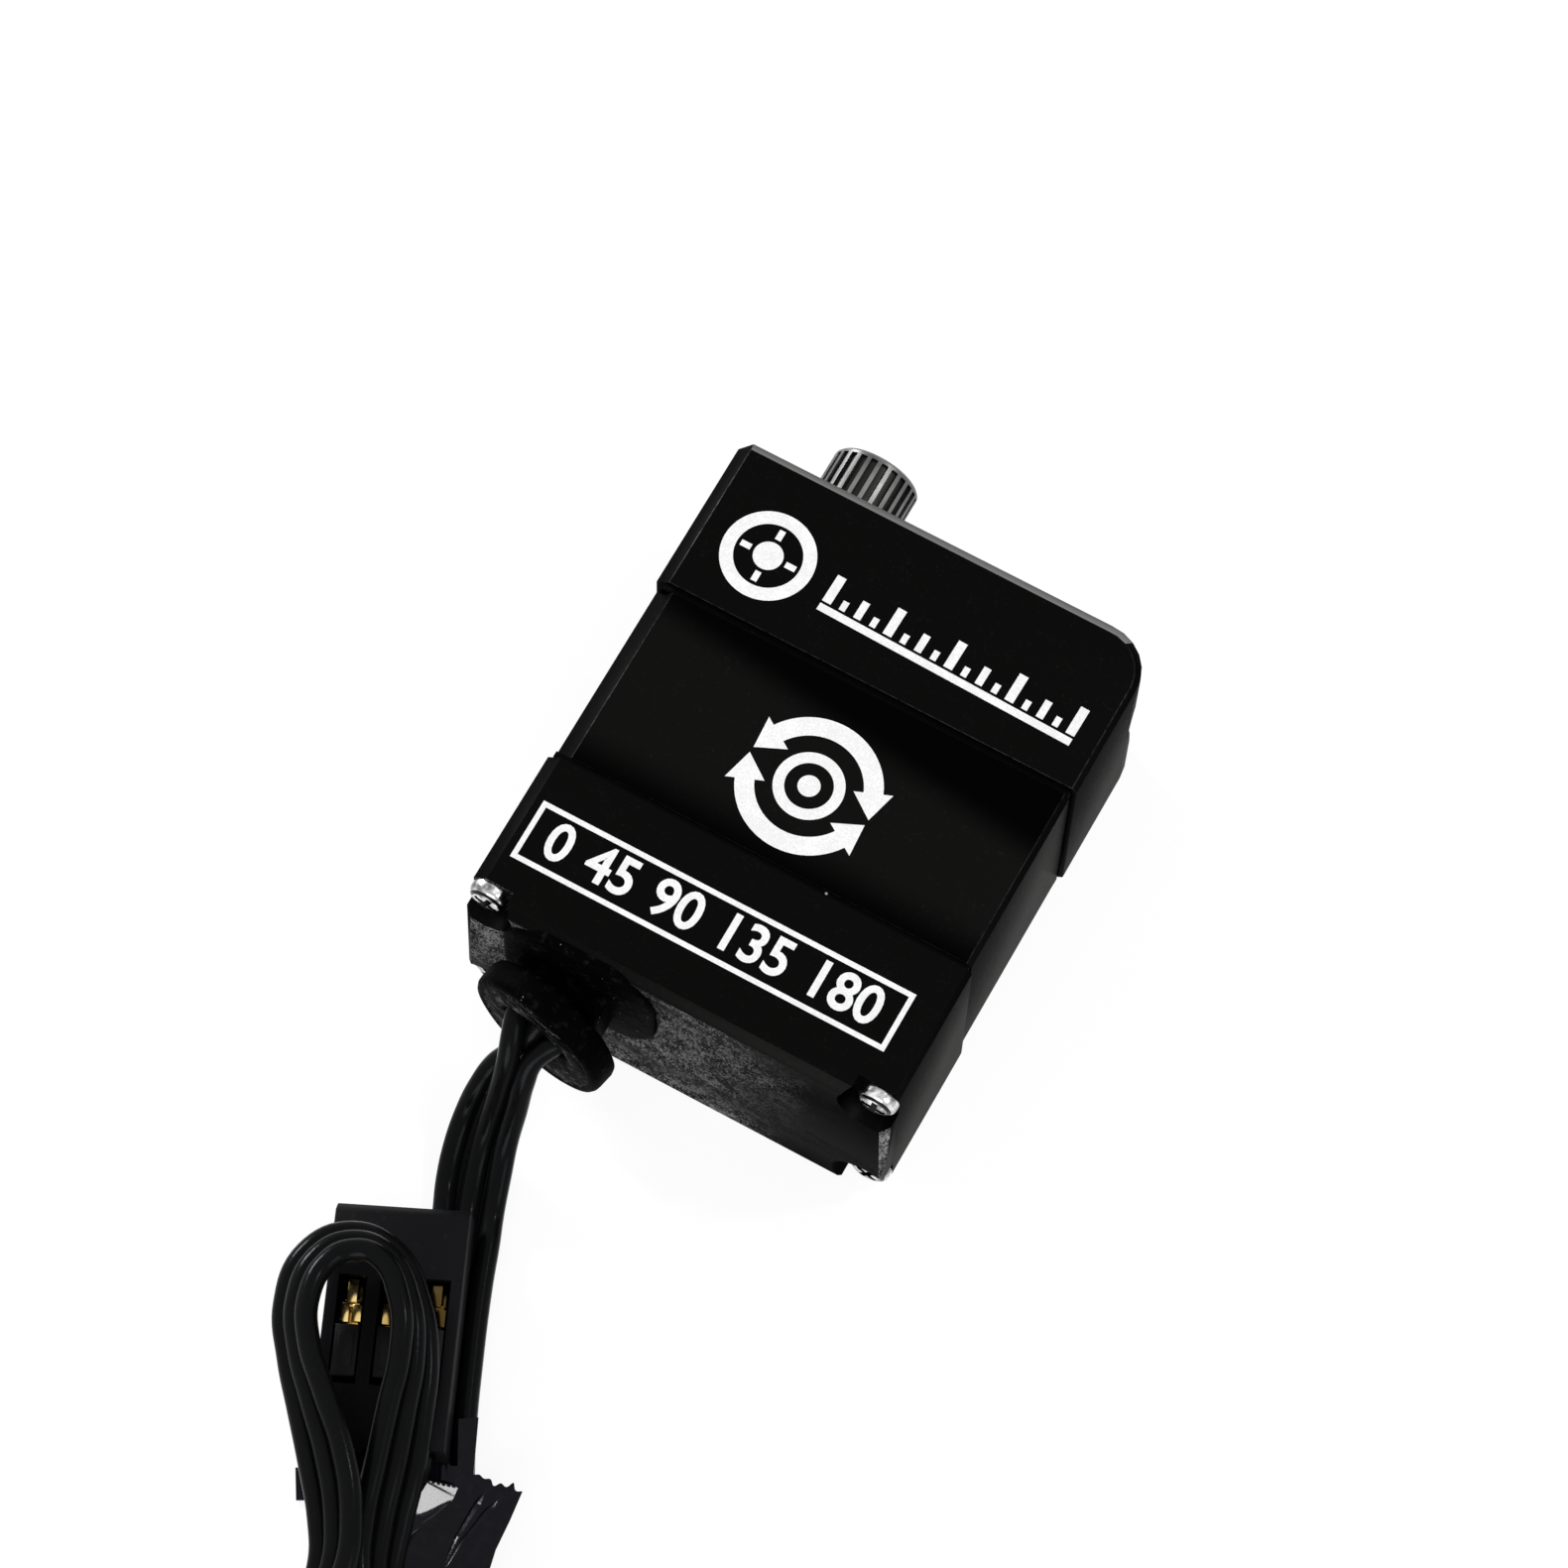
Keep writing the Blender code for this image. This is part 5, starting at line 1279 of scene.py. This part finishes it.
# %% The wrap
WRAP_EDGES = (29.2, 33.8)
wrap_bm = bmesh.new()
outlines = set()
for s in WRAP_EDGES:
    made = bmesh.ops.create_cube(wrap_bm, size=1.0)["verts"]
    side = [v for v in made if v.co.y < 0]
    bmesh.ops.delete(wrap_bm, geom=[v for v in made if v.co.y > 0], context="VERTS")
    for vert in side:
        vert.co = hank_place(s, vert.co.x * 11.0, 3.3 + vert.co.z * 5.6)
    outlines.update(e for v in side for e in v.link_edges)
bmesh.ops.delete(wrap_bm, geom=wrap_bm.faces[:], context="FACES_ONLY")
bmesh.ops.bridge_loops(wrap_bm, edges=list(outlines))
round_edges(wrap_bm, [e for e in wrap_bm.edges if not e.is_boundary], 2.4 * MM, 8)
bmesh.ops.recalc_face_normals(wrap_bm, faces=wrap_bm.faces[:])
bmesh.ops.solidify(wrap_bm, geom=wrap_bm.faces[:], thickness=0.3 * MM)
WRAP = make_piece("tie_wrap", wrap_bm, STRAP, replaces=["lead_tie"])
TIE_END = make_piece("tie_free_end", strap_bm, STRAP)
print("tie faces", len(WRAP.data.polygons), len(TIE_END.data.polygons))

# %% [markdown]
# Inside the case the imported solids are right, so they stay and only get their finishes.

# %% Finishes of the parts inside
INSIDE = [
    (RUBBER, "lower_gasket upper_gasket motor_magnet"),
    (BRASS, "first_gear second_gear third_gear output_gear motor_pinion"),
    (STEEL, "gear_pin_a gear_pin_b motor_shaft upper_bearing_inner_race "
            "upper_bearing_outer_race lower_bearing_inner_race lower_bearing_outer_race"),
    (PLATED, "upper_bearing_ball_ring lower_bearing_ball_ring motor_screw_1 "
             "motor_screw_2"),
    (CAN, "motor_can smoothing_capacitor"),
    (PLASTIC, "motor_end_cap feedback_pot_body control_chip motor_driver_chip"),
    (COPPER, "motor_winding feedback_lead_1 feedback_lead_2 feedback_lead_3"),
    (GOLD, "motor_terminal_1 motor_terminal_2 feedback_pot_wiper"),
    (BOARD, "circuit_board")]
for material, nodes in INSIDE:
    for node in nodes.split():
        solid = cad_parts[node]
        solid.data.materials.clear()
        solid.data.materials.append(material)
    print(material.name, "on", nodes)

# %% [markdown]
# Black metal is seen only by what it reflects, so the panels to the front and right are
# large and weak. A small lamp on the left picks out the left edges, and a small one
# behind makes the creased film glint.

# %% Lights
def area_light(name, offset, target, size, power):
    """A round lamp at an offset from its target, facing it."""
    data = configured(bpy.data.lights.new(name, "AREA"), shape="DISK", size=size,
                      energy=power)
    configured(new_object(name, data), location=target + Vector(offset),
               rotation_euler=Vector(offset).to_track_quat("Z", "Y").to_euler())


MODEL_LOW, MODEL_HIGH = CAD_BOX
CENTRE = (Vector(MODEL_LOW) + Vector(MODEL_HIGH)) / 2
FILM = hank_place(16, 5.5, 2.3)
area_light("left_lamp", (-0.65, 0.233, 0.243), CENTRE, 0.16, 5.0)
area_light("front_panel", (0.1, -0.68, 0.25), CENTRE, 0.5, 3.5)
area_light("right_panel", (0.6, -0.15, 0.45), CENTRE, 0.4, 1.3)
area_light("back_lamp", (0.321, 0.288, 0.584), FILM, 0.05, 0.8)
print("lights", len(bpy.data.lights))

# %% [markdown]
# The floor and the world are white to the camera and in reflections, but to the light
# that falls on the object they are plain pale surfaces, so they don't wash it out.

# %% Floor and world
def seen_directly(tree):
    """1 for rays from the camera and for rays seen in metal or glass."""
    path = add_node(tree, "ShaderNodeLightPath")
    seen = math_node(tree, "ADD", path["Is Camera Ray"], path["Is Glossy Ray"], clamp=True)
    return math_node(tree, "ADD", seen, path["Is Transmission Ray"], clamp=True)


FLOOR, tree = new_material("pale_floor", grey(0.8), 0.9, Specular_IOR_Level=0.0,
                           Emission_Color=grey(1))
seen = seen_directly(tree)
feed(tree, tree.nodes["Principled BSDF"], "Emission_Strength", times(tree, seen, 0.88))
surface(FLOOR, mix_colour(tree, seen, grey(0.8), grey(0.16)))
floor_bm = bmesh.new()
bmesh.ops.create_grid(floor_bm, x_segments=1, y_segments=1, size=3.0)
floor = loose_object("floor", floor_bm)
floor.data.materials.append(FLOOR)

world = bpy.data.worlds.new("studio")
bpy.context.scene.world = world
world.use_nodes = True
tree = world.node_tree
feed(tree, tree.nodes["Background"], "Color", grey(1))
feed(tree, tree.nodes["Background"], "Strength",
     mix_value(tree, seen_directly(tree), 0.35, 1.0))
bpy.context.scene.view_settings.view_transform = "Standard"
print("world", world.name)
